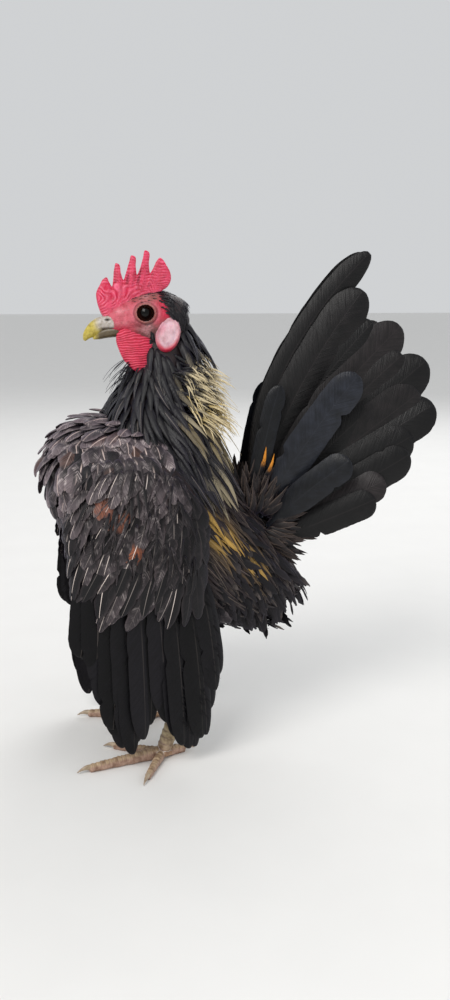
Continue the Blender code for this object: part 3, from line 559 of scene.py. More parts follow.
charcoal = dict(dark="#0e0b0e", paintedGrooveShade="#0b090c", edge="#94878b", edgeShare=0.42, rust="#6e4a3a", shaft="#d9c3bb",
                shaftWidth=0.45, sheen=0.2, sheenTint="#a79cc0")
breastCoat = dict(
    rows=(0.30, 0.995, 4.0 / torsoLength), around=(0, 1), spacing=4.0, length=14.0, width=6.6, lift=4.2, loose=0.24,
    awayFrom=(-4.0, 0, 152.0), down=0.8, backBelow=0.9,
    vane=dict(rings=10, kind="round", camber=0.24, rag=0.26, twist=0.26, sway=0.07),
    look=dict(charcoal, name="charcoalBreastFeather", paintedGlint=0.6, light="#6f6267"))


def buildBreastFeathers():
    # Scalloped contour feathers over the breast, the flanks and the belly. Each lies away from a point in the neck,
    # less its part along the skin's normal, and low on the belly it turns backwards.
    draw, coat = np.random.default_rng(21), breastCoat
    u, v, p, out = coatPlaces(torsoSkin, coat, draw)
    # The back behind the neck belongs to the saddle.
    keep = ~((p[:, 0] < -6) & (out[:, 2] > 0.25)) & ~((p[:, 0] < 2) & (p[:, 2] > 72))
    u, v, p, out = pick(keep, u, v, p, out)
    count = len(u)
    lie = unit(p - np.array(coat["awayFrom"])) + vector(0, 0, -coat["down"])
    lie = lie + vector(-coat["backBelow"], 0, 0) * smoothStep(112, 80, p[:, 2:3])
    lie = scatter(draw, tangentLie(lie, out), out, coat["loose"])
    size = draw.uniform(0.85, 1.15, count)
    high = smoothStep(105, 140, p[:, 2])
    streak = someOf(draw, 0.3 + 0.5 * high, 0.2, 0.9, count) * (0.3 + 0.7 * high)
    tone = np.clip(0.62 * high + 0.25 * waveNoise(p, 0.12, 5) + draw.uniform(-0.3, 0.35, count), 0, 1)
    rust = someOf(draw, 0.10 * high, 0.2, 0.5, count)
    lift = coat["lift"] + draw.normal(0, 0.8, count)
    root, tip, hump = layCoat(torsoSkin, p, out, lie, coat["length"] * size, lift)
    batch = growVanes(root, tip, out, coat["width"] * size, vaneShape(draw, count, hump, **coat["vane"]),
                      makeMarks(tone, streak=streak, rust=rust), pair(u, v), 31)
    coatPiece("breastFeathers", [batch], coat["look"], "body_feather")


saddleCoat = dict(
    rows=(0.08, 0.66, 3.6 / torsoLength), around=(-0.10, 0.60), spacing=2.6, length=28.0, width=4.2, lift=3.6,
    loose=0.10, frontEnd=4, goldShare=0.75, goldWidth=6.5,
    vane=dict(rings=12, rag=0.34, twist=0.3, sway=0.12),
    look=dict(name="saddleHackle", dark="#0f0c0f", light="#33292b", edge="#4f423f", edgeShare=0.4, tip="#b48f45",
              tipFrom=0.42, tipFull=0.7, tipBreak=0.5, shaft="#cbb59c", shaftWidth=0.25, sheen=0.12))


def buildSaddleFeathers():
    # Narrow hackles down the back, over the rump and down both flanks: backwards on the spine, and turning outwards
    # and down with the distance from it.
    draw, coat = np.random.default_rng(22), saddleCoat
    u, v, p, out = coatPlaces(torsoSkin, coat, draw)
    u, v, p, out = pick(p[:, 0] < coat["frontEnd"], u, v, p, out)
    count = len(u)
    flank = np.clip(np.abs(p[:, 1]) / 30, 0, 1)
    lie = vector(-1.0 + 0.1 * flank, 0.35 * np.sign(p[:, 1] + 1e-6) * flank, -0.35 - 0.65 * flank)
    lie = scatter(draw, tangentLie(lie, out), out, coat["loose"])
    size = draw.uniform(0.8, 1.15, count)
    lift = coat["lift"] + draw.normal(0, 0.8, count)
    root, tip, hump = layCoat(torsoSkin, p, out, lie, coat["length"] * size, lift)
    # Gold lies in a band on each flank, from behind the wing down towards the vent.
    show = root * 0.3 + tip * 0.7
    band = bulge(show[:, 2] - (122 + 0.85 * show[:, 0]), coat["goldWidth"]) * smoothStep(-14, -19, show[:, 0])
    band = band * smoothStep(-46, -41, show[:, 0])
    gold = band * smoothStep(9, 16, np.abs(show[:, 1])) * (draw.random(count) < coat["goldShare"])
    pale = np.clip(gold * draw.uniform(0.3, 1.1, count), 0, 1)
    tone = np.clip(0.45 + draw.uniform(-0.3, 0.4, count), 0, 1)
    batch = growVanes(root, tip, out, coat["width"] * size, vaneShape(draw, count, hump, **coat["vane"]),
                      makeMarks(tone, pale=pale, streak=0.25 * draw.random(count)), pair(u, v), 32)
    coatPiece("saddleHackles", [batch], coat["look"], "body_feather")


fluffCoat = dict(
    rows=(0.03, 0.40, 3.2 / torsoLength), around=(0, 1), spacing=3.6, length=17.0, width=4.6, stand=0.30, loose=0.22,
    lowest=42, greyShare=0.22,
    vane=dict(hump=1.2, rings=9, kind="down", thick=0.3, rag=0.6, twist=0.5, sway=0.12, sweep=0.8),
    look=dict(name="looseDown", dark="#09080a", light="#231f23", edge="#3a3435", edgeShare=0.45, tip="#6f655f",
              tipFrom=0.55, tipFull=0.95, rough=0.7, sheen=0.2))


def buildFluff():
    # Loose down under the tail and behind the thighs, black with grey fringes. It lies back and down, and stands off
    # the skin by a share of the outward direction.
    draw, coat = np.random.default_rng(23), fluffCoat
    u, v, p, out = coatPlaces(torsoSkin, coat, draw)
    u, v, p, out = pick(out[:, 2] < 0.45, u, v, p, out)
    count = len(u)
    under = smoothStep(0.1, -0.5, out[:, 2])
    lie = vector(-0.8 + 0.35 * under, 0, -0.7 - 0.25 * under) + draw.normal(0, coat["loose"], (count, 3))
    stand = coat["stand"] + draw.normal(0, 0.09, (count, 1))
    lie = unit(tangentLie(lie, out) + out * stand + vector(0, 0, -0.5 * under))
    size = draw.uniform(0.7, 1.2, count)
    root = p - out * rootDepth
    tip = root + lie * (coat["length"] * size * (0.75 + 0.25 * smoothStep(-20, -50, p[:, 0])))[:, None]
    tip[:, 2] = np.maximum(tip[:, 2], coat["lowest"])
    pale = someOf(draw, coat["greyShare"], 0.2, 0.8, count)
    batch = growVanes(root, tip, out, coat["width"] * size, vaneShape(draw, count, **coat["vane"]),
                      makeMarks(draw.uniform(0, 0.8, count), pale=pale), pair(u, v), 33)
    coatPiece("ventFluff", [batch], coat["look"], "body_feather")


# Pairs of values here are for the highest and the lowest row.
shoulderCape = dict(
    rows=9, spacing=4.0, middle=12, front=37, back=1, side=(15, 34), length=14.0, width=6.8, farthestOut=44.5,
    endsIn=4.5,
    lieSide=(1.0, 0.34), lieUp=(-0.28, -0.95), outSide=(0.25, 0.95), outUp=(0.95, 0.35),
    vane=dict(hump=1.5, rings=10, kind="round", camber=0.24, rag=0.24, twist=0.24, sway=0.07),
    look=dict(charcoal, name="charcoalShoulderFeather", paintedGlint=1.0, light="#7c6f72"))


def buildShoulderFeathers():
    # The cape over the top of each wing: rows run fore and aft, each further out and lower than the last, and
    # the lowest overhang the coverts in a scalloped edge. Fore and aft of their middle the rows draw in and down.
    draw, cape, batches = np.random.default_rng(25), shoulderCape, []
    for hand, number in [(hand, number) for hand in handNames for number in range(cape["rows"])]:
        share = number / (cape["rows"] - 1)
        side, lieSide, lieUp, outSide, outUp = (np.interp(share, [0, 1], cape[key])
                                                for key in ("side", "lieSide", "lieUp", "outSide", "outUp"))
        forward = np.arange(cape["front"] - 3 * share, cape["back"] + 3 * share, -cape["spacing"])
        forward = forward - 2.0 * (number % 2)
        count = len(forward)
        forward = forward + draw.uniform(-0.9, 0.9, count)
        ahead = np.clip((forward - cape["middle"]) / 24, -1, 1)
        up = np.interp(share, [0, 0.5, 1], [144.5, 142.5, 138.0]) - foreAndAft(ahead, 3.5, 4.0)
        root = vector(forward, (side - cape["endsIn"] * ahead**2) * hand, up - 1.5)
        lie = unit(vector(0.30 * ahead - 0.12 + draw.normal(0, 0.16, count), hand * lieSide, lieUp))
        out = unit(vector(0.2 * ahead, hand * outSide, outUp))
        size = draw.uniform(0.85, 1.15, count)
        tip = root + lie * (cape["length"] * size)[:, None] + out * draw.uniform(0.4, 1.8, (count, 1))
        farthest = cape["farthestOut"] - cape["endsIn"] * ahead**2 + draw.normal(0, 0.6, count)
        tip[:, 1] = hand * np.minimum(np.abs(tip[:, 1]), farthest)
        streak = someOf(draw, 0.7, 0.2, 0.9, count)
        tone = np.clip(0.5 + draw.uniform(-0.5, 0.5, count), 0, 1)
        rust = someOf(draw, 0.10, 0.2, 0.5, count)
        batches.append(growVanes(
            root, tip, out, cape["width"] * size, vaneShape(draw, count, **cape["vane"]),
            makeMarks(tone, streak=streak, rust=rust),
            pair(0.25 - hand * (0.06 + 0.14 * share), 0.55 + forward / 110), 300 + number))
    coatPiece("shoulderFeathers", batches, cape["look"], "body_feather")


buildBreastFeathers()
buildShoulderFeathers()
buildSaddleFeathers()
buildFluff()
print("stage: body coat")


# Neck.

hackleLook = dict(name="neckHackle", dark="#070609", light="#201d26", edge="#332e36", edgeShare=0.3, tip="#dac9a2",
                  tipFrom=0.36, tipFull=0.7, tipBreak=0.6, rust="#bd9f3e", rustFrom=0.35, shaft="#a99c92",
                  shaftWidth=0.2, sheen=0.16, sheenTint="#8a86b8", rough=0.4, specular=0.35)
neckCoat = dict(
    rows=(0.16, 0.99, 2.7 / neckLength), around=(0, 1), spacing=2.5, width=3.9, loose=0.12, goldShare=0.5,
    ruffle=(0.2, 0.95), cutShort=(0.34, 0.5),
    vane=dict(rings=10, camber=0.28, thick=0.38, twist=0.3, sway=0.08))


def clearOfLobes(root, tip):
    # True for feathers of which five points along the chord all miss the ellipses of the earlobe and the wattle.
    clear = np.ones(len(root), bool)
    for way in (0.0, 0.25, 0.5, 0.75, 1.0):
        f, side, up = (root + (tip - root) * way).T
        onLobe = (np.hypot((f + 6.8) / 5.6, (up - 184.1) / 8.2) < 1) & (np.abs(side) > 7.0)
        onWattle = (np.hypot((f - 5.8 + 0.14 * (up - 179)) / 5.6, (up - 179) / 9.6) < 1) & (np.abs(side) > 3.5)
        clear &= ~(onLobe | onWattle)
    return clear


def neckHackles(draw):
    # Hackles in rings down the neck, short at the head and long on the shoulders. They hang, flare outwards and
    # sweep back by curves of the height and of how far behind they stand, and high ones behind end in straw gold.
    coat = neckCoat
    u, v, p, out = coatPlaces(neckSkin, coat, draw)
    count, behind, up = len(u), -out[:, 0], p[:, 2]
    length = np.interp(up, [138, 160, 175, 186, 195], [30, 30, 25, 19, 13])
    length = length * np.interp(behind, [-1, -0.3, 0.4, 1], [0.42, 0.7, 1.0, 1.08])
    length = length * draw.uniform(0.82, 1.15, count)
    flare = np.interp(up, [138, 150, 170, 186, 192], [0.50, 0.44, 0.36, 0.28, 0.2]) + draw.normal(0, 0.05, count)
    flare = flare + 0.30 * bulge(up - 183, 9) * smoothStep(0.1, 0.8, behind)
    sweep = np.interp(behind, [-1, -0.2, 0.5, 1], [0.10, 0.45, 0.35, 0.25])
    sweep = sweep * np.interp(up, [138, 160, 190], [1.0, 0.9, 0.5])
    lie = tangentLie(vector(-sweep, 0, -1), out) + unit(out * vector(1, 1, 0)) * (flare - 0.12)[:, None]
    lie = scatter(draw, unit(lie), out, coat["loose"])
    gold = smoothStep(-0.15, 0.3, behind) * smoothStep(152, 160, up) * smoothStep(186, 176, up)
    chosen = draw.random(count) < coat["goldShare"]
    pale = np.where(chosen, gold * draw.uniform(0.5, 1.2, count), 0.0)
    # The gold ones are ruffled, and stand out behind.
    lie = unit(lie + vector(-1.0, 0, 0.25) * (gold * chosen * draw.uniform(*coat["ruffle"], count))[:, None])
    length = length * (1 - 0.22 * gold * chosen)
    root = p - out * rootDepth
    tip = root + lie * length[:, None]
    # None lies over a lobe or a wattle: those that would are cut short and laid flat, or left out.
    flat = unit(tangentLie(vector(-0.3, 0, -1.0), out))
    for share in coat["cutShort"]:
        short = ~clearOfLobes(root, tip)
        length = np.where(short, share * length, length)
        tip = np.where(short[:, None], root + flat * length[:, None], tip)
    clear = clearOfLobes(root, tip) & ~((root[:, 2] > 182.5) & (root[:, 0] > -4) & (np.abs(root[:, 1]) > 5))
    u, v, out, up, behind, root, tip, length, gold, chosen, pale = pick(
        clear, u, v, out, up, behind, root, tip, length, gold, chosen, pale)
    count = len(u)
    lowGold = smoothStep(0.55, 0.9, behind) * smoothStep(160, 146, up)
    pale = np.clip(np.maximum(pale, lowGold * draw.uniform(0.1, 0.8, count)), 0, 1)
    streak = someOf(draw, 0.22, 0.1, 0.45, count)
    tone = np.clip(0.2 + draw.uniform(-0.2, 0.5, count), 0, 1)
    shape = vaneShape(draw, count, 1.0 + 0.03 * length, **coat["vane"])
    width = coat["width"] * np.interp(length, [5, 12, 28], [0.55, 0.8, 1.12]) * draw.uniform(0.85, 1.15, count)
    return growVanes(root, tip, out, width * (1 - 0.6 * gold * chosen), shape, makeMarks(
        tone, pale=pale, streak=streak, rust=np.where(up < 158, pale, 0)), pair(u, v), 34)


longVane = dict(rings=12, camber=0.3, rag=0.35)
strays = dict(count=190, turn=1.25, height=(148, 172), width=(0.7, 1.5), outward=(5, 11), down=(4, 15),
              vane=dict(longVane, hump=(1.5, 4.0), twist=0.5, sway=0.2))
tufts = dict(clumps=13, strands=9, highClumps=8, turn=(0.65, 1.3), lowHeight=(148, 155), highHeight=(158, 169),
             reach=(11.5, 16), drop=(4, 8), width=(0.9, 1.7), spread=0.9,
             vane=dict(longVane, hump=(1.2, 3.8), twist=0.4, sway=0.12))
bib = dict(count=22, turn=0.8, centre=(-2.0, 0, 173.0), outward=(8, 13), down=(7, 14), width=1.3,
           vane=dict(hump=(0.5, 2.0), rings=9, half=1, camber=0.2, thick=0.3))
shoulderHackles = dict(
    count=230, length=(22, 36), width=(3.4, 5.0), farthestOut=40, paleShare=0.4, streakShare=0.2,
    vane=dict(hump=(1.5, 3.5), twist=0.25, sway=0.08, rings=12, thick=0.38))


def roundNeck(turn, up, girths):
    # Level directions that turn from straight back towards the left, and places there on the neck at a height.
    level = vector(-np.cos(turn), np.sin(turn), 0)
    girth = np.interp(up, [150, 164, 178], girths)
    return level, vector(-5 - girth * np.cos(turn), 0.92 * girth * np.sin(turn), up)


def strayHackles(draw):
    # Single straw hackles that curl outwards and down behind the neck.
    count = strays["count"]
    turn = draw.uniform(-strays["turn"], strays["turn"], count)
    up = draw.uniform(*strays["height"], count)
    level, root = roundNeck(turn, up, [19, 14, 11.5])
    tip = root + level * draw.uniform(*strays["outward"], (count, 1))
    tip = tip + vector(-0.2, 0, -0.8) * draw.uniform(*strays["down"], (count, 1))
    shape = vaneShape(draw, count, **strays["vane"])
    return growVanes(root, tip, level + vector(0, 0, 0.3), draw.uniform(*strays["width"], count), shape, makeMarks(
        draw.uniform(0.2, 0.6, count), pale=draw.uniform(0.5, 1.0, count), rust=np.where(up < 160, 0.8, 0.0)),
        pair(0.25 + turn * 0.1, up / 200), 35)


def strawTufts(draw, hand):
    # Straw tufts swept back along a flank of the neck: the strands of one tuft start and end close together.
    clumps, strands = tufts["clumps"], tufts["strands"]
    count = clumps * strands
    low = np.arange(clumps) >= tufts["highClumps"]
    turn = np.repeat(np.linspace(*tufts["turn"], clumps)[draw.permutation(clumps)], strands) * hand
    up = np.where(low, draw.uniform(*tufts["lowHeight"], clumps), draw.uniform(*tufts["highHeight"], clumps))
    up = np.repeat(up, strands)
    level, root = roundNeck(turn, up, [20, 15, 12.5])
    root = root + draw.normal(0, tufts["spread"], (count, 3))
    reach = np.repeat(draw.uniform(*tufts["reach"], clumps), strands) + draw.normal(0, 1.2, count)
    drop = np.repeat(draw.uniform(*tufts["drop"], clumps), strands) + draw.normal(0, tufts["spread"], count)
    tip = root + vector(-reach, 0, 0) + level * 2.0 + vector(0, 0, -drop)
    shape = vaneShape(draw, count, **tufts["vane"])
    return growVanes(root, tip, level + vector(0, 0, 0.6), draw.uniform(*tufts["width"], count), shape, makeMarks(
        draw.uniform(0.2, 0.6, count), pale=draw.uniform(0.75, 1.0, count), rust=np.repeat(0.9 * low, strands)),
        pair(0.25 + turn * 0.1, up / 200), 44 + hand)


def throatBib(draw):
    # Fine dark feathers that stand before the throat and fall over it.
    count = bib["count"]
    turn = draw.uniform(-bib["turn"], bib["turn"], count)
    level = vector(np.cos(turn), np.sin(turn), 0)
    root = np.array(bib["centre"]) + level * 9 + vector(0, 0, 1.0) * draw.uniform(-7, 3, (count, 1))
    tip = root + level * draw.uniform(*bib["outward"], (count, 1))
    tip = tip + vector(0, 0, -1.0) * draw.uniform(*bib["down"], (count, 1))
    shape = vaneShape(draw, count, **bib["vane"])
    return growVanes(root, tip, level, bib["width"], shape, makeMarks(draw.uniform(0, 0.3, count)),
                     pair(0.75 + turn * 0.1, root[:, 2] / 200), 36)


def capeHackles(draw, hand):
    # Long dark hackles that fall from the foot of the neck over the shoulder and past the wing's rear edge.
    cape = shoulderHackles
    count = cape["count"]
    share, down = draw.random(count), draw.random(count)
    root = vector(6 - 24 * share + 2 * down, (13 + 13 * down - 6 * share) * hand, 150 - 11 * down - 3 * share)
    lie = unit(vector(-0.62 + 0.1 * share + draw.normal(0, 0.10, count),
                      (0.42 - 0.22 * share) * hand + draw.normal(0, 0.07, count), -0.9))
    out = unit(vector(-0.1, hand * (1.1 - 0.4 * share), 0.75))
    tip = root + lie * draw.uniform(*cape["length"], count)[:, None]
    tip[:, 1] = hand * np.minimum(np.abs(tip[:, 1]), cape["farthestOut"] + draw.normal(0, 0.7, count))
    shape = vaneShape(draw, count, **cape["vane"])
    low = smoothStep(0.55, 0.95, share) * (draw.random(count) < cape["paleShare"])
    return growVanes(root, tip, out, draw.uniform(*cape["width"], count), shape, makeMarks(
        draw.uniform(0.0, 0.9, count), pale=0.35 * low,
        streak=np.where(draw.random(count) < cape["streakShare"], 0.4, 0.0)),
        pair(0.25 - hand * 0.12 * (1 - share), 0.02 + 0.1 * down), 38 + hand)


def buildNeckHackles():
    # The coat of the neck with the bib, and the loose hackles over it.
    draw, tuftDraw = np.random.default_rng(24), np.random.default_rng(26)
    rings, stray = neckHackles(draw), strayHackles(draw)
    loose = [strawTufts(tuftDraw, hand) for hand in handNames]
    coatPiece("neckHackles", [rings, throatBib(draw)], hackleLook, "hackle_feather")
    loose += [capeHackles(draw, hand) for hand in handNames]
    coatPiece("looseHackles", [stray, *loose], hackleLook, "hackle_feather")


buildNeckHackles()
print("stage: neck")


# Wings.

# The arm, top down: (middle forward, up, half length, half thickness, side).
armStations = [(11, 139, 9, 2.0, 30), (11, 133, 19, 4.5, 34), (11, 121, 26, 6.0, 38), (10.5, 108, 27, 5.6, 40.5),
               (9.5, 96, 25.5, 4.0, 41), (8.5, 87, 21, 2.0, 40.4)]
# Flight feathers, front to back: (root forward, root up, tip forward, tip up, tip side, width).
flightRows = np.array([
    (32, 100, 35.5, 57, 37.0, 11), (29, 99, 31.0, 52, 36.5, 11), (26, 98, 26.0, 36, 35.0, 12),
    (23, 97, 21.0, 17, 33.0, 12), (19, 96, 16.0, 11, 32.5, 12), (14, 95, 11.0, 14, 33.0, 12),
    (9, 94, 5.0, 26, 34.0, 12), (4, 93, -1.5, 24, 34.0, 12), (-1, 92, -8.0, 11, 32.5, 12),
    (-6, 93, -14.5, 9, 31.5, 12), (-10, 95, -19.5, 22, 32.0, 11), (-13, 98, -23.5, 43, 33.0, 11)])
# Covert rows, from the shoulder down: (height of roots, spacing, length, width, lift, most forward, most rearward).
covertRows = [
    (137, 4.2, 13, 6.8, 3.2, 22, -4), (133, 4.2, 13, 6.8, 2.9, 28, -8), (129, 4.4, 13, 7.0, 2.7, 32, -12),
    (125, 4.4, 13, 7.0, 2.5, 34, -14), (121, 4.5, 14, 7.2, 2.3, 36, -15), (117, 4.6, 15, 7.2, 2.2, 37, -15),
    (113, 4.8, 16, 7.4, 2.1, 37, -15), (109, 5.0, 18, 7.6, 2.1, 37, -15), (105, 4.8, 20, 7.2, 2.2, 36, -15),
    (101, 4.8, 23, 7.2, 2.3, 35, -15), (97, 4.8, 26, 7.2, 2.2, 33, -14), (93, 4.8, 28, 7.2, 2.0, 31, -12)]
coverts = dict(
    bladesBelow=106, loose=0.13, rustShare=0.9, rustReach=3.9,
    rustSpots=np.array([(25.0, 118.0), (20.0, 111.5), (12.5, 98.5)]),  # (forward, up)
    vane=dict(hump=1.3, rings=12, camber=0.2, thick=0.45, rag=0.26, twist=0.24, sway=0.05),
    look=dict(name="wingCovert", paintedGlint=0.45, dark="#080709", light="#62585b", paintedGrooveShade="#080608", edge="#6a5d5f",
              edgeShare=0.34, shaft="#efdfd6", shaftWidth=0.25, rust="#99583a", rustFrom=0.3, sheen=0.16,
              sheenTint="#9f95b8"))
fineVane = dict(sway=0.12, half=1, camber=0.2, thick=0.25, rag=0.4)
wisps = dict(count=130, length=(8, 17), width=(0.7, 2.0), proud=2.0, vane=dict(fineVane, hump=(0.2, 1.6), rings=8))
flights = dict(
    steps=26, lowest=8, innerSide=40.0, layer=0.8, paleShafts=8, rightEnds=(18, 9, 11, 10),
    vane=dict(rings=34, half=4, kind="quill", camber=0.15, thick=0.9, hump=1.6, rag=0.03, split=0.35, tipDense=1.3,
              patch=(0.03, 0.9)),
    look=dict(name="flightFeather", paintedInnerShade=0.2, dark="#050406", light="#19171c", paintedGrooveShade="#030303", edge="#151316",
              edgeShare=0.4, shaft="#7d736e", shaftWidth=0.4, rough=0.48, specular=0.15, bump=0.4, barbShadeShare=0.5,
              sheen=0.06, sheenTint="#6d7a92"))
looseBarbs = dict(count=170, rearRows=8, length=(4, 9), width=(0.4, 0.9), lowest=6,
                  vane=dict(fineVane, hump=(0.0, 0.8), rings=7))


def armGrid(hand, inset):
    # The wing's arm: lens-shaped rings stacked down the side, whose two edges curl in round the body.
    forward, up, reach, thick, side = curveThrough(np.arange(6), armStations, np.linspace(0, 5, 40)).T[..., None]
    angle = ringAngles(64)
    along = np.cos(angle)
    out = side - foreAndAft(along, 7.0, 4.5) + np.maximum(thick - inset, 0.4) * np.sin(angle)
    return vector(forward + (reach - inset) * along, out * hand, up + 1.8 * along)


def curlOf(forward):
    # How far the wing lies in from its widest at a place along the body.
    return -foreAndAft((forward - 12) / 26, 6.5, 4.5)


def covertRow(hand, arm, draw, number, row):
    # One row of coverts on the arm. They slope forward at the front of the wing and hang straight at its rear, and
    # their tips lie on the wing's curled face at a distance out that falls with the height.
    up, spacing, length, width, lift, first, last = row
    forward = np.arange(first, last, -spacing) - 0.5 * spacing * (number % 2)
    count = len(forward)
    forward = forward + draw.uniform(-0.5, 0.5, count)
    ups = up + draw.uniform(-0.8, 0.8, count)
    p, out = nearSurface(arm, vector(forward, (42.5 + curlOf(forward)) * hand, ups))
    share = np.clip((forward + 15) / 50, 0, 1)
    slope = np.interp(share, [0, 0.3, 0.6, 1], [-0.12, 0.22, 0.5, 0.55]) + draw.normal(0, coverts["loose"], count)
    size = draw.uniform(0.9, 1.12, count)
    root = p - out * rootDepth
    tip = root + tangentLie(vector(slope, 0, -1), out) * (length * size)[:, None]
    side = 41.6 + lift + curlOf(tip[:, 0]) - 0.055 * np.maximum(0, 96 - tip[:, 2])
    tip[:, 1] = side * hand + draw.normal(0, 0.7, count) * hand
    high = tip[:, 2] > 125
    side = np.interp(tip[high, 2], [120, 130, 140], [43.5, 41.5, 37.0]) + lift * 0.5 + curlOf(tip[high, 0])
    tip[high, 1] = hand * side
    show = root * 0.3 + tip * 0.7
    near = np.min(np.linalg.norm(show[:, None, [0, 2]] - coverts["rustSpots"][None], axis=-1), 1)
    rust = np.where(near < coverts["rustReach"], draw.uniform(0.6, 0.95, count), 0.0)
    rust = rust * (draw.random(count) < coverts["rustShare"])
    streak = someOf(draw, 0.16 + 0.3 * (share > 0.4), 0.5, 1.0, count)
    streak = np.where(streak > 0, streak, draw.uniform(0.0, 0.3, count))
    tone = np.clip(np.interp(ups, [88, 112, 134], [0.05, 0.32, 0.62]) + draw.uniform(-0.4, 0.45, count), 0, 1)
    # The rear edge, under the saddle's hackles, is almost black, and the lower front is dark too.
    tone *= smoothStep(0.0, 0.3, share) * (1 - 0.7 * smoothStep(112, 98, ups) * smoothStep(0.5, 0.8, share))
    streak *= smoothStep(0.02, 0.25, share)
    kind = "round" if up > coverts["bladesBelow"] else "blade"
    shape = vaneShape(draw, count, kind=kind, **coverts["vane"])
    shape["sway"] += 0.03 * hand
    return growVanes(root, tip, out + vector(0.25, 0, 0), width * size, shape,
                     makeMarks(tone, streak=streak, rust=rust), pair(0.1 + 0.8 * share, ups / 150), 41 + number)


def looseWisps(hand, arm, draw):
    # Frayed wisps that have come loose over the coverts.
    count = wisps["count"]
    f, up = draw.uniform(-13, 36, count), draw.uniform(88, 138, count)
    p, out = nearSurface(arm, vector(f, (43 + curlOf(f)) * hand, up))
    lie = unit(tangentLie(vector(draw.normal(0.25, 0.3, count), 0, -1), out))
    root = p + out * wisps["proud"]
    tip = root + lie * draw.uniform(*wisps["length"], (count, 1)) + out * draw.uniform(0.0, 2.2, (count, 1))
    shape = vaneShape(draw, count, **wisps["vane"])
    width = draw.uniform(*wisps["width"], count)
    tone = draw.uniform(0, 0.8, count) * np.interp(up, [88, 130], [0.2, 1.0]) * smoothStep(-13, 5, f)
    return growVanes(root, tip, out, width, shape, makeMarks(tone), pair(0.1 + 0.8 * (f + 15) / 50, up / 150), 58)


def hangingFlights(hand, draw):
    # The hanging flight feathers, from their table read at half steps, and loose barbs along the rear ones. The
    # feathers overlap in three layers, each a little further in than the one before.
    rows = curveThrough(np.arange(12), flightRows, np.linspace(0, 11, flights["steps"]))
    count = len(rows)
    rows[:, 3] = np.maximum(rows[:, 3] + draw.uniform(-3.5, 3.5, count), flights["lowest"])
    if hand == rightHand:
        rows[3:7, 3] = flights["rightEnds"]
    layer = flights["layer"] * (np.arange(count) % 3)
    root = vector(rows[:, 0], (flights["innerSide"] + curlOf(rows[:, 0]) - layer) * hand, rows[:, 1])
    tip = vector(rows[:, 2], (rows[:, 4] - layer) * hand, rows[:, 3])
    facing = vector(-0.3 + 0.3 * np.clip((rows[:, 0] - 12) / 26, 0, 1), hand, 0)
    shape = dict(flights["vane"], lean=0.3 * hand, sway=0.03 * hand + draw.normal(0, 0.025, count),
                 twist=draw.normal(0, 0.12, count))
    streak = np.where(np.arange(count) < flights["paleShafts"], 0.5, 0.12) * draw.uniform(0.4, 1.0, count)
    width = rows[:, 5] * draw.uniform(0.78, 0.95, count)
    vanes = growVanes(root, tip, facing, width, shape, makeMarks(draw.uniform(0, 0.8, count), streak=streak),
                      pair((np.arange(count) + 0.5) / count, 0.5), 60)
    many = looseBarbs["count"]
    chosen = draw.integers(count - looseBarbs["rearRows"], count, many)
    way = draw.uniform(0.2, 0.84, (many, 1))
    start = root[chosen] * (1 - way) + tip[chosen] * way + vector(0, 1.4 * hand, 0)
    lie = unit(vector(draw.normal(-0.55, 0.2, many), 0.05 * hand, -1))
    shape = vaneShape(draw, many, **looseBarbs["vane"])
    stop = start + lie * draw.uniform(*looseBarbs["length"], (many, 1))
    stop[:, 2] = np.maximum(stop[:, 2], looseBarbs["lowest"])
    width = draw.uniform(*looseBarbs["width"], many)
    barbs = growVanes(start, stop, vector(0, hand, 0), width, shape, makeMarks(draw.uniform(0, 0.8, many)),
                      pair((chosen + 0.5) / count, 0.5), 62)
    return [vanes, barbs]


def buildWing(hand):
    # Coverts in rows on the arm, wisps over them, and the flight feathers that hang below.
    draw, side = np.random.default_rng(40), handNames[hand]
    arm = surfaceOf(armGrid(hand, 1.2))
    batches = [covertRow(hand, arm, draw, number, row) for number, row in enumerate(covertRows)]
    batches.append(looseWisps(hand, arm, draw))
    coatPiece("wingCoverts_" + side, batches, coverts["look"], "flight_feather", "wing_" + side)
    coatPiece("flightFeathers_" + side, hangingFlights(hand, draw), flights["look"], "flight_feather", "wing_" + side)


for hand in handNames:
    buildWing(hand)
print("stage: wings")


# Tail.

# Feathers of one half, top down: (root forward, up, tip forward, up, tip side, width, bow forward, bow up).
tailRows = np.array([
    (-43, 109, -97, 218, 4.0, 11.5, 22, 8), (-45, 109, -93, 202, 8.0, 18, 11, 4),
    (-47, 109, -109, 187, 12.0, 19, 4, 4), (-50, 107, -120, 172, 16.0, 20, 1, 3),
    (-53, 104, -123, 153, 19.5, 19, -1, 2), (-55, 99, -111, 132, 22.5, 16, -2, 1),
    (-55, 94, -95, 113, 24.5, 13, -2, 0)])
tailCovertRows = np.array([
    (-44, 105, -55, 162, 11, 8.5, 3, 0), (-47, 104, -86, 167, 23, 15, 3, 3), (-50, 100, -82, 131, 27, 13, 1, 2)])
tailFan = dict(
    vane=dict(rings=44, half=5, kind="broad", camber=0.14, thick=1.0, hump=1.5, rag=0.03, split=0.4, tipDense=1.25,
              patch=(0.06, 0.42)),
    look=dict(name="tailFeather", paintedInnerShade=0.25, dark="#060506", light="#2e2829", paintedGrooveShade="#030303", edge="#1b1819",
              edgeShare=0.35, shaft="#4a4142", shaftWidth=0.5, rough=0.38, bump=0.4, barbShadeShare=0.5, sheen=0.07,
              sheenTint="#71819c"),
    # The tail coverts' bluish light colour is a painted highlight, for the blue gloss on them.
    covertLook=dict(name="tailCovert", paintedInnerShade=0.35, dark="#08090c", light="#363a46", paintedGrooveShade="#040405",
                    edge="#262830", edgeShare=0.35, shaft="#3b3d46", shaftWidth=0.5, rough=0.34, bump=0.35,
                    barbShadeShare=0.4, sheen=0.15, sheenTint="#7d90b4"))
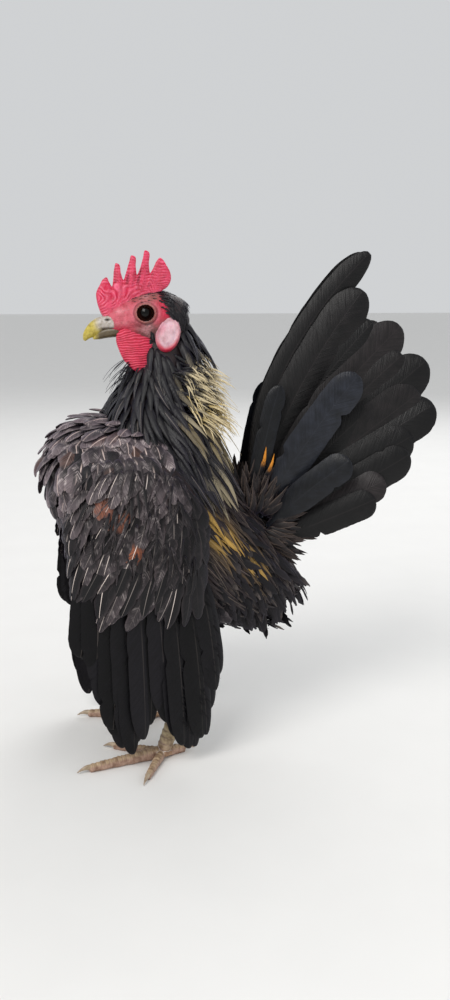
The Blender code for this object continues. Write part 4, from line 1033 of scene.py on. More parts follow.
rosette = dict(
    count=170, centre=(-46, 102), reach=(13, 15), length=(9, 17), width=(2.6, 5.0),
    orangeRoots=[(-46, 10.0, 121), (-46.5, 10.2, 120)], orangeTips=[(-48.5, 13.5, 136), (-52.0, 14.0, 133)],
    orangeWidth=3.0,
    vane=dict(hump=(0.5, 2.5), twist=0.3, rings=9, thick=0.4),
    look=dict(name="tailRosetteFeather", dark="#0a080a", light="#3a302c", edge="#76655a", edgeShare=0.55,
              tip="#cf8426", tipFrom=0.4, tipFull=0.75))


def tailVanes(rows, firstSide, sideStep, hand, draw, column, tract):
    # Broad feathers from a table. The bow of each is a hump across its face's plane, so it goes in as a sway.
    count = len(rows)
    root = vector(rows[:, 0], (firstSide + sideStep * np.arange(count)) * hand, rows[:, 1])
    tip = vector(rows[:, 2], rows[:, 4] * hand, rows[:, 3])
    chord = tip - root
    facing = np.broadcast_to(vector(0.12, hand, 0.18), (count, 3))
    lie = unit(chord)
    across = np.cross(lie, tangentLie(facing, lie))
    # sway * length * (t * t - t) is deepest, a quarter, at the middle, and the table's bow is half as deep there.
    sway = -2 * np.sum(vector(rows[:, 6], 0, rows[:, 7]) * across, -1) / np.linalg.norm(chord, axis=-1)
    shape = dict(tailFan["vane"], sway=sway + draw.normal(0, 0.02, count), twist=draw.normal(0, 0.12, count))
    marks = makeMarks(draw.uniform(0.0, 0.6, count), streak=0.1)
    bake = pair((np.arange(count) + 0.5) / 12, column)
    return growVanes(root, tip, facing, rows[:, 5] * 1.04, shape, marks, bake, tract)


def rosetteVanes(hand, draw):
    # Small coverts in a rosette round the foot of the tail: places on rings that widen inwards, with the feathers
    # pointing away from the middle, back and up.
    count = rosette["count"]
    turn = draw.uniform(-0.35, 1.0, count) * np.pi
    ring = draw.uniform(0.25, 1.0, count)
    c, s = np.cos(turn), np.sin(turn)
    (forward, up), (reach, rise) = rosette["centre"], rosette["reach"]
    out = unit(vector(-0.25 * c - 0.2, hand * (1.1 - 0.5 * ring), 0.25 * s))
    root = vector(forward - reach * ring * c, (11.5 - 6.5 * ring**2) * hand, up + rise * ring * s)
    lie = unit(vector(-c - 0.5, 0.35 * hand, s + 0.25))
    tip = root + lie * draw.uniform(*rosette["length"], (count, 1)) + out * draw.uniform(0.0, 2.2, (count, 1))
    # Two longer ones end in orange, up on the covert.
    mirror = np.array([1, hand, 1])
    root[:2], tip[:2] = np.array(rosette["orangeRoots"]) * mirror, np.array(rosette["orangeTips"]) * mirror
    shape = vaneShape(draw, count, **rosette["vane"])
    width = draw.uniform(*rosette["width"], count)
    width[:2] = rosette["orangeWidth"]
    marks = makeMarks(draw.uniform(0, 0.9, count), pale=np.where(np.arange(count) < 2, 1.0, 0.0))
    return growVanes(root, tip, out, width, shape, marks, pair(turn / 7 + 0.4, 0.1 + 0.8 * ring), 74)


def buildTail(hand):
    # The fan's feathers, shorter ones between them on the inner side, three coverts over their foot, and a rosette.
    draw, side = np.random.default_rng(70), handNames[hand]
    between = tailRows[1:-1] + 0.5 * (tailRows[2:] - tailRows[1:-1])
    between[:, 2:4] = tailRows[1:-1, :2] + (between[:, 2:4] - tailRows[1:-1, :2]) * 0.93
    main = tailVanes(tailRows, 1.6, 1.3, hand, draw, 0.25, 71)
    inner = tailVanes(between, 1.0, 1.3, hand, draw, 0.75, 72)
    cover = tailVanes(tailCovertRows, 9.2, 0.8, hand, draw, 0.6, 73)
    coatPiece("tailFeathers_" + side, [main, inner], tailFan["look"], "flight_feather", "tail_" + side)
    coatPiece("tailCoverts_" + side, [cover], tailFan["covertLook"], "flight_feather")
    coatPiece("tailRosette_" + side, [rosetteVanes(hand, draw)], rosette["look"], "body_feather")


for hand in handNames:
    buildTail(hand)
print("stage: tail")


# Skin and head.

# Bare bird skin: thin and living, so light sinks in a little and it shines where it is tight. Its papillae, 0.4 mm
# apart, stand up as grains.
skinLook = dict(noise={"Scale": 300.0, "Detail": 4.0, "Roughness": 0.65}, shade="#b98a88", spread=(0.45, 0.7, 0.6),
                grain=1900.0, rough=(0.37, 0.59), bump=0.5, relief=0.0004,
                finish={"IOR": 1.42, "Subsurface Weight": 0.12, "Subsurface Radius": (1.0, 0.35, 0.2),
                        "Subsurface Scale": 0.0012})
# Comb, wattles and lobes are thicker and filled with blood, so light sinks in deeper.
fleshFinish = {**skinLook["finish"], "Subsurface Weight": 0.2}
combLook = dict(skinLook, rough=(0.34, 0.56), bump=0.35, finish=fleshFinish)
lobeLook = dict(skinLook, rough=(0.42, 0.64), bump=0.3, finish=fleshFinish)

headTilt = math.radians(-7.0)
headCentre = (1.5, 0.0, 191.5)
skullStations = [(-18.8, 0, -3.2, 2.2, 2), (-16, 0, -3, 7.4, 6.5), (-10.5, 0, -1.6, 10.4, 9),
                 (-4, 0, -0.8, 10.6, 9.3), (2, 0, -1.2, 9.4, 8.6), (8, 0, -1.8, 7.2, 6.6),
                 (13, 0, -2.2, 5.2, 4.6), (15.5, 0, -2.5, 3.4, 3.2)]
eyeLook = dict(forward=-0.3, up=1.3, side=4.7, radius=4.1, opening=3.45, lidHeight=1.0, iris="#160c07", rim="#2b180d",
               pupil="#020202", edge="#0c0807")
# The darkest grey is painted shade: under the feathers, in the groove round the lids and under the jaw. The near
# black inside the lids is painted shade, and the whitish pink is a painted highlight on the face.
skinColours = dict(rose="#bc2040", pale="#cf7480", grey="#6b5350", paintedShadeGrey="#2a2022", rim="#96685f", paintedSkinHighlight="#e9a9b0",
                   brow="#8a6a62", crease="#8c1730", paintedLidShade="#1a1010")
# Heights on the head, and how far forward the feathers of the crown start there.
crownLine = ([-10, -4, -0.5, 3.8, 8.5, 11], [-14, -11.5, -7.8, -6.4, -4.2, -1.5])


def headPlace(points):
    # Head places (forward, side, up from the head's centre) turned by the head's tilt and set on the neck.
    p = np.asarray(points, float)
    c, s = math.cos(headTilt), math.sin(headTilt)
    f, side, up = p[..., 0], p[..., 1], p[..., 2]
    return vector(headCentre[0] + f * c - side * s, f * s + side * c, headCentre[2] + up)


def headSkin():
    # The skull as rings along its length, then moved sideways by round bumps and dips: eye hollows, lids, brows,
    # lores, folds and papillae, the last from two noises.
    q = spineGrid(skullStations, 200, 150)
    f, side, up = q[..., 0], q[..., 1], q[..., 2]
    flank = smoothStep(2.0, 4.5, np.abs(side))
    r = np.hypot(f - eyeLook["forward"], (up - eyeLook["up"]) * 1.08)
    ring = r - eyeLook["opening"]
    face = smoothStep(-13, -7, f) * flank
    push = 0.9 * bulge(r, 6.5) + eyeLook["lidHeight"] * bulge(ring - 0.45, 0.55) - 0.45 * bulge(ring - 1.35, 0.35)
    push += 0.3 * bulge(ring - 2.2, 0.5) + 0.7 * bulge(up - 6.6, 1.6) * bulge(f - 1, 6)
    push += 0.8 * bulge(np.hypot(f + 4, (up + 6) * 0.8), 3.8) - 0.7 * bulge(np.hypot(f - 8, up - 1), 2.6)
    push -= 0.5 * bulge(up + 3.4 + 0.25 * f, 0.9) * smoothStep(-6, 0, f)
    fine = waveNoise(q, 2.6, 3) + 0.7 * waveNoise(q, 5.2, 4)
    wrinkles = np.sin(r * 5.2 + 1.3 * fine) * bulge(ring - 2, 2.6)
    push += face * smoothStep(0.6, 2.0, ring) * (0.14 * fine + 0.10 * wrinkles)
    newSide = np.abs(side) + push * flank
    # Inside the lids the skin dips to the eyeball's sides.
    hollow = (r < eyeLook["opening"] + 0.25) & (np.abs(side) > 4)
    newSide = np.where(hollow, np.minimum(newSide, eyeLook["side"] + 1.6), newSide)
    q = vector(f + 0.10 * fine * (1 - flank), newSide * np.sign(side), up + 0.16 * fine * (1 - flank))
    colours, brow = skinColours, smoothStep(-9, -4, f) * smoothStep(10, 5, f)
    return headPlace(q), layTints(
        f.shape, colours["rose"], (0.6 * bulge(ring - 1.8, 1.4), colours["pale"]),
        (0.9 * smoothStep(0, -5, up + 0.8 * np.sin(f)) * smoothStep(9, 0, f), colours["grey"]),
        (0.6 * smoothStep(2, 7, f) * smoothStep(-7, -2, up), colours["pale"]),
        (0.75 * smoothStep(4.6, 7.6, up + 0.3 * fine) * brow, colours["brow"]),
        # Painted highlight: whitish pink patches over the face, for the shine on the wet skin.
        (0.55 * smoothStep(0.0, 0.8, waveNoise(q, 0.5, 15) + 0.25 * fine) * face, colours["paintedSkinHighlight"]),
        (np.clip(0.3 * fine, 0, 0.5) * face, colours["crease"]),
        (0.85 * smoothStep(7.5, 10, up) * smoothStep(8, 2, f), colours["grey"]),
        # Painted shade in the groove round the lids, then the lids' beige rim.
        (0.45 * bulge(ring - 1.35, 0.4), colours["paintedShadeGrey"]), (0.9 * bulge(ring - 0.55, 0.45), colours["rim"]),
        # Painted shade: near black inside the lids, between lid and eyeball.
        (np.where(ring < 0.1, 1.0, 0.0), colours["paintedLidShade"]),
        # Painted shade: dark grey where the crown's feathers begin, and under the jaw.
        (smoothStep(-1.5, -3.5, f - np.interp(up, *crownLine)), colours["paintedShadeGrey"]),
        (0.8 * smoothStep(-8, -10.5, up) * smoothStep(8, 2, f), colours["paintedShadeGrey"]))


# Each leg's place: how far forward the foot stands, and how far out.
stanceOf = {leftHand: 0.0, rightHand: -4.5}
stanceSide = 21.0


def thighGrid(hand, inset):
    # The thigh as rings on a spine that leans back and in as it rises.
    f, s = stanceOf[hand], stanceSide * hand
    stations = [(f - 9.5, s, 38, 2.6, 2.6), (f - 9, s, 43, 5.2, 5), (f - 7.5, s, 53, 8.5, 7.6),
                (f - 5.5, 0.98 * s, 65, 12.5, 9.5), (f - 4.5, 0.9 * s, 81, 16, 11.5)]
    return spineGrid(stations, 48, 40, inset)


def buildSkin():
    # One closed skin: head, neck, body, both thighs and the two wing arms.
    grids = [("skin", torsoSkin["grid"]), ("skinNeck", neckSkin["grid"])]
    for hand in handNames:
        grids += [("skinThigh", thighGrid(hand, 0.8)), ("skinArm", armGrid(hand, 1.4))]
    # The skin under the feathers is painted dark grey as shade, so the gaps between feathers read as shadow.
    body, *others = [gridPiece(name, grid, layTints(grid.shape[:2], skinColours["paintedShadeGrey"])) for name, grid in grids]
    uniteInto(body, [gridPiece("skinHead", *headSkin()), *others])
    finishPiece(body, tintedMaterial("birdSkin", skinLook), "comb_skin",
                "torso", "neck", "head", "thigh_left", "thigh_right")


thighCoat = dict(
    rows=(0.10, 0.95, 3.2 / 44), around=(0, 1), spacing=3.2, length=(6, 12), width=(3.2, 5.4), stand=0.28, sink=0.7,
    vane=dict(hump=1.0, twist=0.25, rings=7, kind="round", rag=0.25),
    look=dict(name="thighFeather", dark="#09080a", light="#1f1b20", edge="#2e292e", edgeShare=0.35, rough=0.55))


def buildThighFeathers(hand):
    # Short feathers that point down the thigh, stand off it a little, and grow longer and wider with its height.
    draw, coat = np.random.default_rng(80), thighCoat
    u, v, p, out = coatPlaces(surfaceOf(thighGrid(hand, 0.8)), coat, draw)
    count, low = len(u), [38, 60]
    lie = unit(tangentLie(vector(-0.15, 0, -1.0), out) + out * coat["stand"] + draw.normal(0, 0.12, (count, 3)))
    root = p - out * coat["sink"]
    tip = root + lie * (np.interp(p[:, 2], low, coat["length"]) * draw.uniform(0.8, 1.2, count))[:, None]
    shape = vaneShape(draw, count, **coat["vane"])
    vanes = growVanes(root, tip, out, np.interp(p[:, 2], low, coat["width"]), shape,
                      makeMarks(draw.uniform(0, 0.5, count)), pair(u, v), 81)
    coatPiece("thighFeathers_" + handNames[hand], [vanes], coat["look"], "body_feather")


def buildEye(hand):
    # A ball as rings round its side axis, from the lens to the back: radius times sine out, times cosine along.
    turn = np.linspace(0.03, np.pi - 0.03, 40)[:, None]
    angle, radius = ringAngles(48), eyeLook["radius"]
    q = vector(eyeLook["forward"] + radius * np.sin(turn) * np.cos(angle),
               (eyeLook["side"] + radius * (np.cos(turn) + 0.06 * bulge(turn, 0.5))) * hand,
               eyeLook["up"] + radius * np.sin(turn) * np.sin(angle))
    off = turn / np.pi + 0 * angle
    piece = gridPiece("eye_" + handNames[hand] + "_ball", headPlace(q), disc=pair(off, off))
    # A live eye: a clear wet cornea over a dark brown iris and a black pupil.
    material, add, shader, place = newMaterial("wetEye")
    disc = add("SeparateXYZ", {0: add("UVMap", uv_map="disc")})
    fibre = add("TexNoise", {"Vector": place, "Scale": 1400.0, "Detail": 3.0})
    iris = add("Mix", {0: fibre, 6: hexColour(eyeLook["iris"]), 7: hexColour(eyeLook["rim"])}, 2, **rgba)
    pupil = add("MapRange", {0: disc, 1: 0.19, 2: 0.22}, **ramp)
    colour = add("Mix", {0: pupil, 6: hexColour(eyeLook["pupil"]), 7: iris}, 2, **rgba)
    edge = add("MapRange", {0: disc, 1: 0.27, 2: 0.33}, **ramp)
    colour = add("Mix", {0: edge, 6: colour, 7: hexColour(eyeLook["edge"])}, 2, **rgba)
    rough = add("MapRange", {0: fibre, 3: 0.04, 4: 0.10})
    add(shader, {"Base Color": colour, "Roughness": rough, "IOR": 1.36, "Specular IOR Level": 0.35})
    finishPiece(piece, material, "eye", "eye_" + handNames[hand])


# Comb.

# (forward, up) on the head: the blade's outline from its front foot over five points to its rear foot, and the
# line that it grows from.
combEdge = [(18.4, 1.2), (19.7, 5.5), (20.0, 9.5), (18.4, 12.8), (16.8, 15.3), (15.6, 15.9), (14.5, 14.0),
            (13.4, 12.2), (12.9, 14.5), (12.3, 19.3), (11.4, 21.7), (10.4, 21.3), (9.5, 17.5), (8.5, 14.9),
            (7.7, 17), (6.0, 22.2), (4.9, 24.8), (3.8, 24.5), (3.3, 20), (2.8, 17.0), (1.9, 18.8), (0.2, 24),
            (-0.8, 26.9), (-1.9, 26.5), (-2.2, 21), (-2.7, 17.8), (-3.9, 19.6), (-5.6, 22.8), (-6.9, 24.0),
            (-8.2, 23), (-9.6, 20.8), (-11.0, 18.1), (-11.3, 15), (-9.6, 11.8), (-6.4, 10.2)]
combRoot = [(17.0, -0.8), (14, 1.0), (10, 3.2), (6.5, 5.4), (3, 7.0), (0, 8.0), (-3, 8.7), (-5.0, 8.8)]
# The ridge colour is a pale pink painted highlight on the crests of the blade's ridges.
comb = dict(thick=2.3, wrinkle=0.24, spacing=1.15, columns=420, levels=40, red="#c20c3c", ridge="#ff88a8",
            foot="#cf7480")


def buildComb():
    # A blade of straight columns from its foot to its edge. Half its thickness falls to nothing at the edge, as the
    # root of one less the height's power. Ridges run across it, as a sine of the height bent by noise.
    columns, levels = comb["columns"], comb["levels"]
    edge, foot = alongLine(combEdge, columns), alongLine(combRoot, columns)
    lift = 1 - (1 - np.linspace(0, 1, levels)) ** 1.6
    f, up = np.moveaxis(foot[:, None] + (edge - foot)[:, None] * lift[:, None], -1, 0)
    height = np.linalg.norm(edge - foot, axis=1)[:, None] * lift
    soft, wander, strength = (waveNoise(vector(f, up, 0), scale, seed)
                              for scale, seed in ((0.45, 7), (0.9, 6), (1.5, 8)))
    ridges = np.sin(2 * np.pi * (up + 0.6 * f * smoothStep(14, 6, up) + 0.55 * soft + 0.4 * wander) / comb["spacing"])
    ridges = ridges * np.clip(0.6 + 0.7 * strength, 0.1, 1.0)
    ends = np.sqrt(np.clip(np.minimum(np.arange(columns), np.arange(columns)[::-1]) / 12, 0.02, 1))[:, None]
    half = comb["thick"] * np.sqrt(np.clip(1 - lift**2.4, 0, 1)) * ends * (1 + 0.12 * soft)
    half = half * np.interp(up, [2, 14, 26], [1.05, 0.85, 0.62])
    half = np.maximum(half + comb["wrinkle"] * ridges * np.clip(3 * (1 - lift), 0, 1) * ends, 0.02)
    sway = 0.55 * np.sin(0.33 * f + 0.6) * smoothStep(6, 24, up)
    left, right = vector(f, sway + half, up), vector(f, sway - half, up)
    tone = ridges * 0.5 + 0.5
    # Each ring goes up the left face and down the right one.
    ring, deep, tone = (np.concatenate([rise[:, :-1], fall[:, :0:-1]], 1)
                        for rise, fall in ((left, right), (height, height), (tone, tone)))
    # Painted highlight: the crests of the ridges are laid over in pale pink.
    tint = layTints(deep.shape, comb["red"], (0.62 * tone**1.5, comb["ridge"]),
                    (0.3 * smoothStep(3, 0, deep), comb["foot"]))
    blade = gridPiece("combBlade", headPlace(ring), tint)
    finishPiece(blade, tintedMaterial("combSkin", combLook), "comb_skin", "comb")


# Wattles and earlobes.

# Down the wattle: (forward, side, up, half length, half thickness).
wattleStations = [(5.0, 4.4, -5.2, 4.6, 1.7), (5.2, 4.6, -6.8, 6.2, 1.8), (4.2, 5.0, -10, 7.9, 1.7),
                  (2.6, 5.6, -14, 8.4, 1.6), (1.2, 6.0, -18, 7.9, 1.5), (-0.2, 6.2, -21.3, 6.2, 1.3),
                  (-1.0, 6.2, -23.4, 3.6, 0.9), (-1.3, 6.2, -24.3, 0.9, 0.3)]
# The ridge colour is a pale pink painted highlight on the crests of the creases.
wattle = dict(wave=0.30, crease=0.19, spacing=1.0, red="#b80a34", ridge="#f76a88")
earlobe = dict(centre=(-9.4, 8.2, -7.4), half=(5.1, 7.5, 2.1), tilt=math.radians(14), white="#dcb9c2", fold="#c96a80",
               rim="#b8213f")


def buildWattle(hand):
    # Flat rings stacked down the lobe: reach times cosine along, thickness times sine out, with level creases.
    f, side, up, reach, thick = alongLine(wattleStations, 110, 3).T[..., None]
    angle = ringAngles(72)
    c, s = np.cos(angle), np.sin(angle)
    places = vector(f + reach * (np.sign(c) * np.abs(c) ** 0.85), side + thick * s, up)
    soft = waveNoise(places, 0.4, 9)
    wander = places[..., 2] + 0.10 * places[..., 0] + 0.6 * soft + 0.4 * waveNoise(places, 0.9, 10)
    crease = np.sin(2 * np.pi * wander / wattle["spacing"])
    places[..., 1] += ((wattle["wave"] * soft + wattle["crease"] * crease) * s
                       + 0.5 * np.sin(0.35 * places[..., 0]) * smoothStep(-6, -18, places[..., 2]))
    places[..., 0] += 0.12 * crease * c
    places[..., 1] *= hand
    # Painted highlight: the crests of the creases are laid over in pale pink.
    tint = layTints(soft.shape, wattle["red"], (0.55 * (crease * 0.5 + 0.5) ** 1.5, wattle["ridge"]))
    lobe = gridPiece("wattleLobe_" + handNames[hand], headPlace(places), tint)
    finishPiece(lobe, tintedMaterial("wattleSkin", combLook), "comb_skin", "wattle_" + handNames[hand])


def buildEarlobe(hand):
    # A tilted, flattened egg: rings from its outer face to its inner one, with a raised red rim and soft folds.
    turn = np.linspace(0.02, np.pi - 0.02, 44)[:, None]
    angle = ringAngles(72)
    reach = np.sin(turn)
    (forward, out, rise), (long, tall, thick), tilt = earlobe["centre"], earlobe["half"], earlobe["tilt"]
    a, b = long * reach * np.cos(angle), tall * reach * np.sin(angle)
    f, up = a * math.cos(tilt) - b * math.sin(tilt), a * math.sin(tilt) + b * math.cos(tilt)
    rimPush = 0.45 * bulge(reach - 0.86, 0.10) - 0.35 * bulge(reach - 0.62, 0.16)
    places = vector(forward + f, out + thick * np.cos(turn) + rimPush * np.sign(np.cos(turn)), rise + up)
    soft = waveNoise(places, 0.7, 12)
    places[..., 1] = (places[..., 1] + 0.22 * soft) * hand
    # The red lies on the rim, below and behind, and at the top.
    where = 0.35 - 0.65 * np.sin(angle - 0.15) - 0.25 * np.cos(angle) + 0.6 * bulge(angle - np.pi / 2, 0.7)
    where = np.clip(where, 0, 1)
    tint = layTints(soft.shape, earlobe["white"], (0.5 * smoothStep(-0.3, 0.7, soft), earlobe["fold"]),
                    (smoothStep(0.60, 0.86, reach + 0.06 * soft) * where, earlobe["rim"]))
    lobe = gridPiece("earLobe_" + handNames[hand], headPlace(places), tint)
    finishPiece(lobe, tintedMaterial("lobeSkin", lobeLook), "lobe_skin", "earlobe_" + handNames[hand])


# Bill.

# Bill and claw horn: layered keratin, smooth and slightly clear, streaked along its growth.
hornLook = dict(noise={"Scale": 1.0, "Detail": 4.0, "Roughness": 0.6}, shade="#a4967c", spread=(0.42, 0.72, 0.7),
                rough=(0.28, 0.45), bump=0.3, relief=0.0003,
                finish={"IOR": 1.54, "Subsurface Weight": 0.1, "Subsurface Radius": (1.0, 0.7, 0.4),
                        "Subsurface Scale": 0.0008})
billStreaks, clawGrain = (60.0, 700.0, 700.0), (400.0, 400.0, 400.0)
upperStations = [(8.5, 0, -4, 1.8, 4.3), (12, 0, -3, 3.0, 4.6), (15.5, 0, -2.8, 3.2, 4.1), (19, 0, -3.8, 3.2, 3.3),
                 (22.3, 0, -6, 2.7, 2.3), (24.6, 0, -8.4, 1.6, 1.25), (25.5, 0, -10.1, 0.5, 0.4)]
lowerStations = [(7.5, 0, -6.2, 2.0, 3.6), (12, 0, -6.3, 2.4, 3.7), (16.5, 0, -6.9, 2.3, 3.1),
                 (20, 0, -8.3, 1.5, 2.0), (21.8, 0, -9.2, 0.6, 0.8)]
# The nostril colour is near black, painted shade in the nostril's pit. The lower half's dark rear is its own dark
# brown and also painted shade under the upper half.
bill = dict(square=2.3, horn="#c2b04c", lowerHorn="#b8a64a", ridge="#b8b2b6", edge="#4f433d", base="#a9848a",
            nostril="#1c1518", lowerBase="#4a3d36")


def buildBill():
    # Each half is rings along a line that curves down to the tip; the upper one carries the nostril's flap and pit.
    q = spineGrid(upperStations, 96, 130, square=bill["square"])
    f, side, up = q[..., 0], q[..., 1], q[..., 2]
    nostril = np.hypot((f - 15.6) * 0.62, (up + 1.5) * 1.5)
    flap = np.hypot((f - 15.4) * 0.5, up + 0.5)
    push = 0.55 * bulge(flap, 1.3) - 1.1 * bulge(nostril, 0.62) - 0.18 * bulge(up + 5.4, 0.5) * smoothStep(20, 16, f)
    push = push * smoothStep(1.0, 2.2, np.abs(side))
    top = smoothStep(-7.4, -3.6, up - 0.25 * (f - 19))
    # The nostril's pit is painted near black as its shade.
    tint = layTints(f.shape, bill["horn"], (0.85 * smoothStep(22.5, 18.5, f) * top, bill["ridge"]),
                    (smoothStep(19.8, 17.0, f) * smoothStep(-4.0, -5.4, up), bill["edge"]),
                    (0.7 * smoothStep(13.5, 10.5, f), bill["base"]), (0.92 * bulge(nostril, 0.75), bill["nostril"]))
    upper = gridPiece("billUpper", headPlace(vector(f, side + push * np.sign(side), up)), tint)
    finishPiece(upper, tintedMaterial("billHorn", hornLook, billStreaks), "bill_horn", "bill_upper")
    q = spineGrid(lowerStations, 72, 90, square=bill["square"])
    # The rear of the lower half is dark brown, and this also paints the shade under the upper half.
    tint = layTints(q.shape[:2], bill["lowerHorn"], (0.9 * smoothStep(21.5, 18.5, q[..., 0]), bill["lowerBase"]))
    lower = gridPiece("billLower", headPlace(q), tint)
    finishPiece(lower, tintedMaterial("billHornLower", hornLook, billStreaks), "bill_horn", "bill_lower")


# Legs.

# Leg scales: overlapping keratin plates, satin, with dust and dark skin in the joints.
scaleLook = dict(noise={"Scale": 420.0, "Detail": 5.0, "Roughness": 0.6}, shade="#9a8574", spread=(0.4, 0.68, 0.8),
                 rough=(0.42, 0.66), bump=0.4, relief=0.0003, finish={"IOR": 1.5})
shank = dict(radius=3.1, spacing=2.9, height=45, plateHeight=0.42, scale="#aa9a78", joint="#6b5446", ankle="#b08a84")
# Along the palm: (forward of the leg, up, half depth, half width).
palmStations = [(3.5, 1.4, 1.2, 2.6), (1, 2.4, 2.2, 3.6), (-2, 2.4, 2.1, 3.2), (-4, 1.8, 1.1, 1.8)]
palmColour = "#a58468"
# (name, bearing in degrees, length, share of the radius)
toeRows = [("inner", -32, 24.0, 0.8), ("middle", 12, 34.0, 1.0), ("outer", 64, 22.0, 0.8), ("hind", 196, 11.0, 1.0)]
toe = dict(radius=2.5, taper=0.38, depth=1.12, spacing=1.9, scale="#b59c7e", joint="#6d5449", pad="#a77e7c")
claw = dict(length=6.5, width=1.3, point=0.12, colour="#b8a58c", tip="#8b7a6c")


def toothOf(way, spacing, power, end):
    # Overlapping plates along a way: a saw tooth to a power, that drops back from end to one.
    tooth = np.mod(way / spacing, 1.0)
    return tooth**power * smoothStep(1.0, end, tooth)


def buildShank(hand):
    # Rings up the leg, moved out by plates in front that fade behind into small round scales.
    f, s, r = stanceOf[hand], stanceSide * hand, shank["radius"]
    stations = [(f + 1.4, s, 1.6, 0.7 * r, 0.8 * r), (f, s, 3, 0.9 * r, 0.95 * r), (f - 2.2, s, 8, 1.05 * r, r),
                (f - 6.0, s, 20, r, 0.85 * r), (f - 8.6, s, 34, 1.1 * r, 0.95 * r),
                (f - 9.5, s, 41, 1.35 * r, 1.2 * r), (f - 9.8, s, 45, 0.9 * r, 0.9 * r)]
    grid = spineGrid(stations, 72, 220)
    out = unit(grid - grid.mean(1, keepdims=True))
    angle = np.arctan2(out[..., 1], out[..., 0])
    way = np.broadcast_to(np.linspace(0, shank["height"], 220)[:, None], angle.shape)
    front = (0.5 + 0.5 * np.cos(angle)) ** 0.6
    beads = np.sin(2 * np.pi * way / (shank["spacing"] * 0.55)) * np.sin(7 * angle)
    relief = front * toothOf(way, shank["spacing"], 1.5, 0.86) + (1 - front) * (0.25 + 0.2 * beads)
    tint = layTints(angle.shape, shank["scale"], (0.75 * smoothStep(0.25, 0.0, relief), shank["joint"]),
                    (0.35 * smoothStep(12, 2, way), shank["ankle"]))
    grid = grid + out * (shank["plateHeight"] * relief - 0.12)[..., None]
    return gridPiece("shankScales_" + handNames[hand], grid, tint)


def buildToe(hand, name, bearing, length, thick):
    # A toe as rings along a line that lies on the floor, round with flattened ends, with a scute every 2 mm on top
    # and small round scales below. Its claw is rings along an arc that bends down to the floor.
    a = math.radians(bearing)
    ahead, across = vector(math.cos(a), math.sin(a) * hand, 0), vector(-math.sin(a), math.cos(a) * hand, 0)
    foot, floorUp = vector(stanceOf[hand], stanceSide * hand, 0), vector(0, 0, 1)
    radius, taper, depth = toe["radius"] * thick, toe["taper"], toe["depth"]
    t = np.linspace(0, 1, 130)[:, None]
    angle = ringAngles(56)
    c, s = np.cos(angle), np.sin(angle)
    top = np.maximum(s, 0)
    way = t * length + 0 * angle
    plate = toothOf(way, toe["spacing"], 1.4, 0.84)
    relief = 0.34 * plate * top**0.7 + 0.14 * np.sin(2 * np.pi * way / 1.1) * np.sin(6 * angle) * (1 - top)
    ring = radius * (1 - taper * t) * (1 + 0.08 * np.cos(5 * np.pi * t) ** 2)
    end = np.sqrt(np.clip(np.minimum(t, 1 - t) / 0.035, 0.01, 1))
    reach = ring * end + relief * end - 0.05
    up = 0.94 * radius * depth * (1 - taper * t) + np.maximum(s, -0.86) * reach * depth
    grid = (foot + ahead * (t * length))[:, None] + across * (c * reach)[..., None] + floorUp * up[..., None]
    grid[..., 2] = np.maximum(grid[..., 2], 0.12)
    tint = layTints(way.shape, toe["scale"], (0.6 * smoothStep(0.16, 0.0, plate) * top**0.5, toe["joint"]),
                    (0.45 * smoothStep(0.2, 0.8, 1 - top), toe["pad"]))
    scales = gridPiece(name + "Toe", grid, tint)
    t = np.linspace(0, 1, 40)[:, None]
    tip = foot + ahead * length + floorUp * (0.94 * radius * depth * (1 - taper))
    middle = tip + ahead * (claw["length"] * t - 1.6) + floorUp * (0.3 + 0.6 * np.sin(np.pi * t) - 1.1 * t**2)
    size = (claw["width"] * (1 - t) ** 0.8 + claw["point"]) * thick**0.3
    grid = middle[:, None] + across * (c[::2] * size * 0.85)[..., None] + floorUp * (s[::2] * size * 1.05)[..., None]
    grid[..., 2] = np.maximum(grid[..., 2], 0.15)
    return scales, gridPiece(name + "Claw", grid, layTints(grid.shape[:2], claw["colour"], (0.6 * t, claw["tip"])))


def buildFoot(hand):
    # The shank, the palm's pad and the toes as one piece, and the claws as another.
    f, s, side = stanceOf[hand], stanceSide * hand, handNames[hand]
    grid = spineGrid([(f + ahead, s, *rest) for ahead, *rest in palmStations], 48, 30)
    sole = gridPiece("footSole_" + side, grid, layTints(grid.shape[:2], palmColour))
    toes, claws = zip(*[buildToe(hand, *row) for row in toeRows])
    leg = buildShank(hand)
    uniteInto(leg, [sole, *toes])
    finishPiece(leg, tintedMaterial("legScale", scaleLook), "leg_scale", "shank_" + side, "foot_" + side)
    nails = claws[0]
    nails.name = "clawSet_" + side
    uniteInto(nails, claws[1:])
    finishPiece(nails, tintedMaterial("clawHorn", hornLook, clawGrain), "claw_horn",
                *[f"claw_{side}_{row[0]}" for row in toeRows])


faceCoat = dict(
    rows=(0.05, 0.86, 1.5 / 37), around=(0, 1), spacing=1.7, bristleShare=0.8, sink=0.3, jawLength=(3.6, 5.4),
    jawWidth=1.9,
    vane=dict(hump=0.3, twist=0.2, rings=7, half=1, thick=0.22, rag=0.2),
    look=dict(name="crownFeather", dark="#060507", light="#1f1b22", edge="#3b353c", edgeShare=0.3, rough=0.42,
              sheen=0.12))


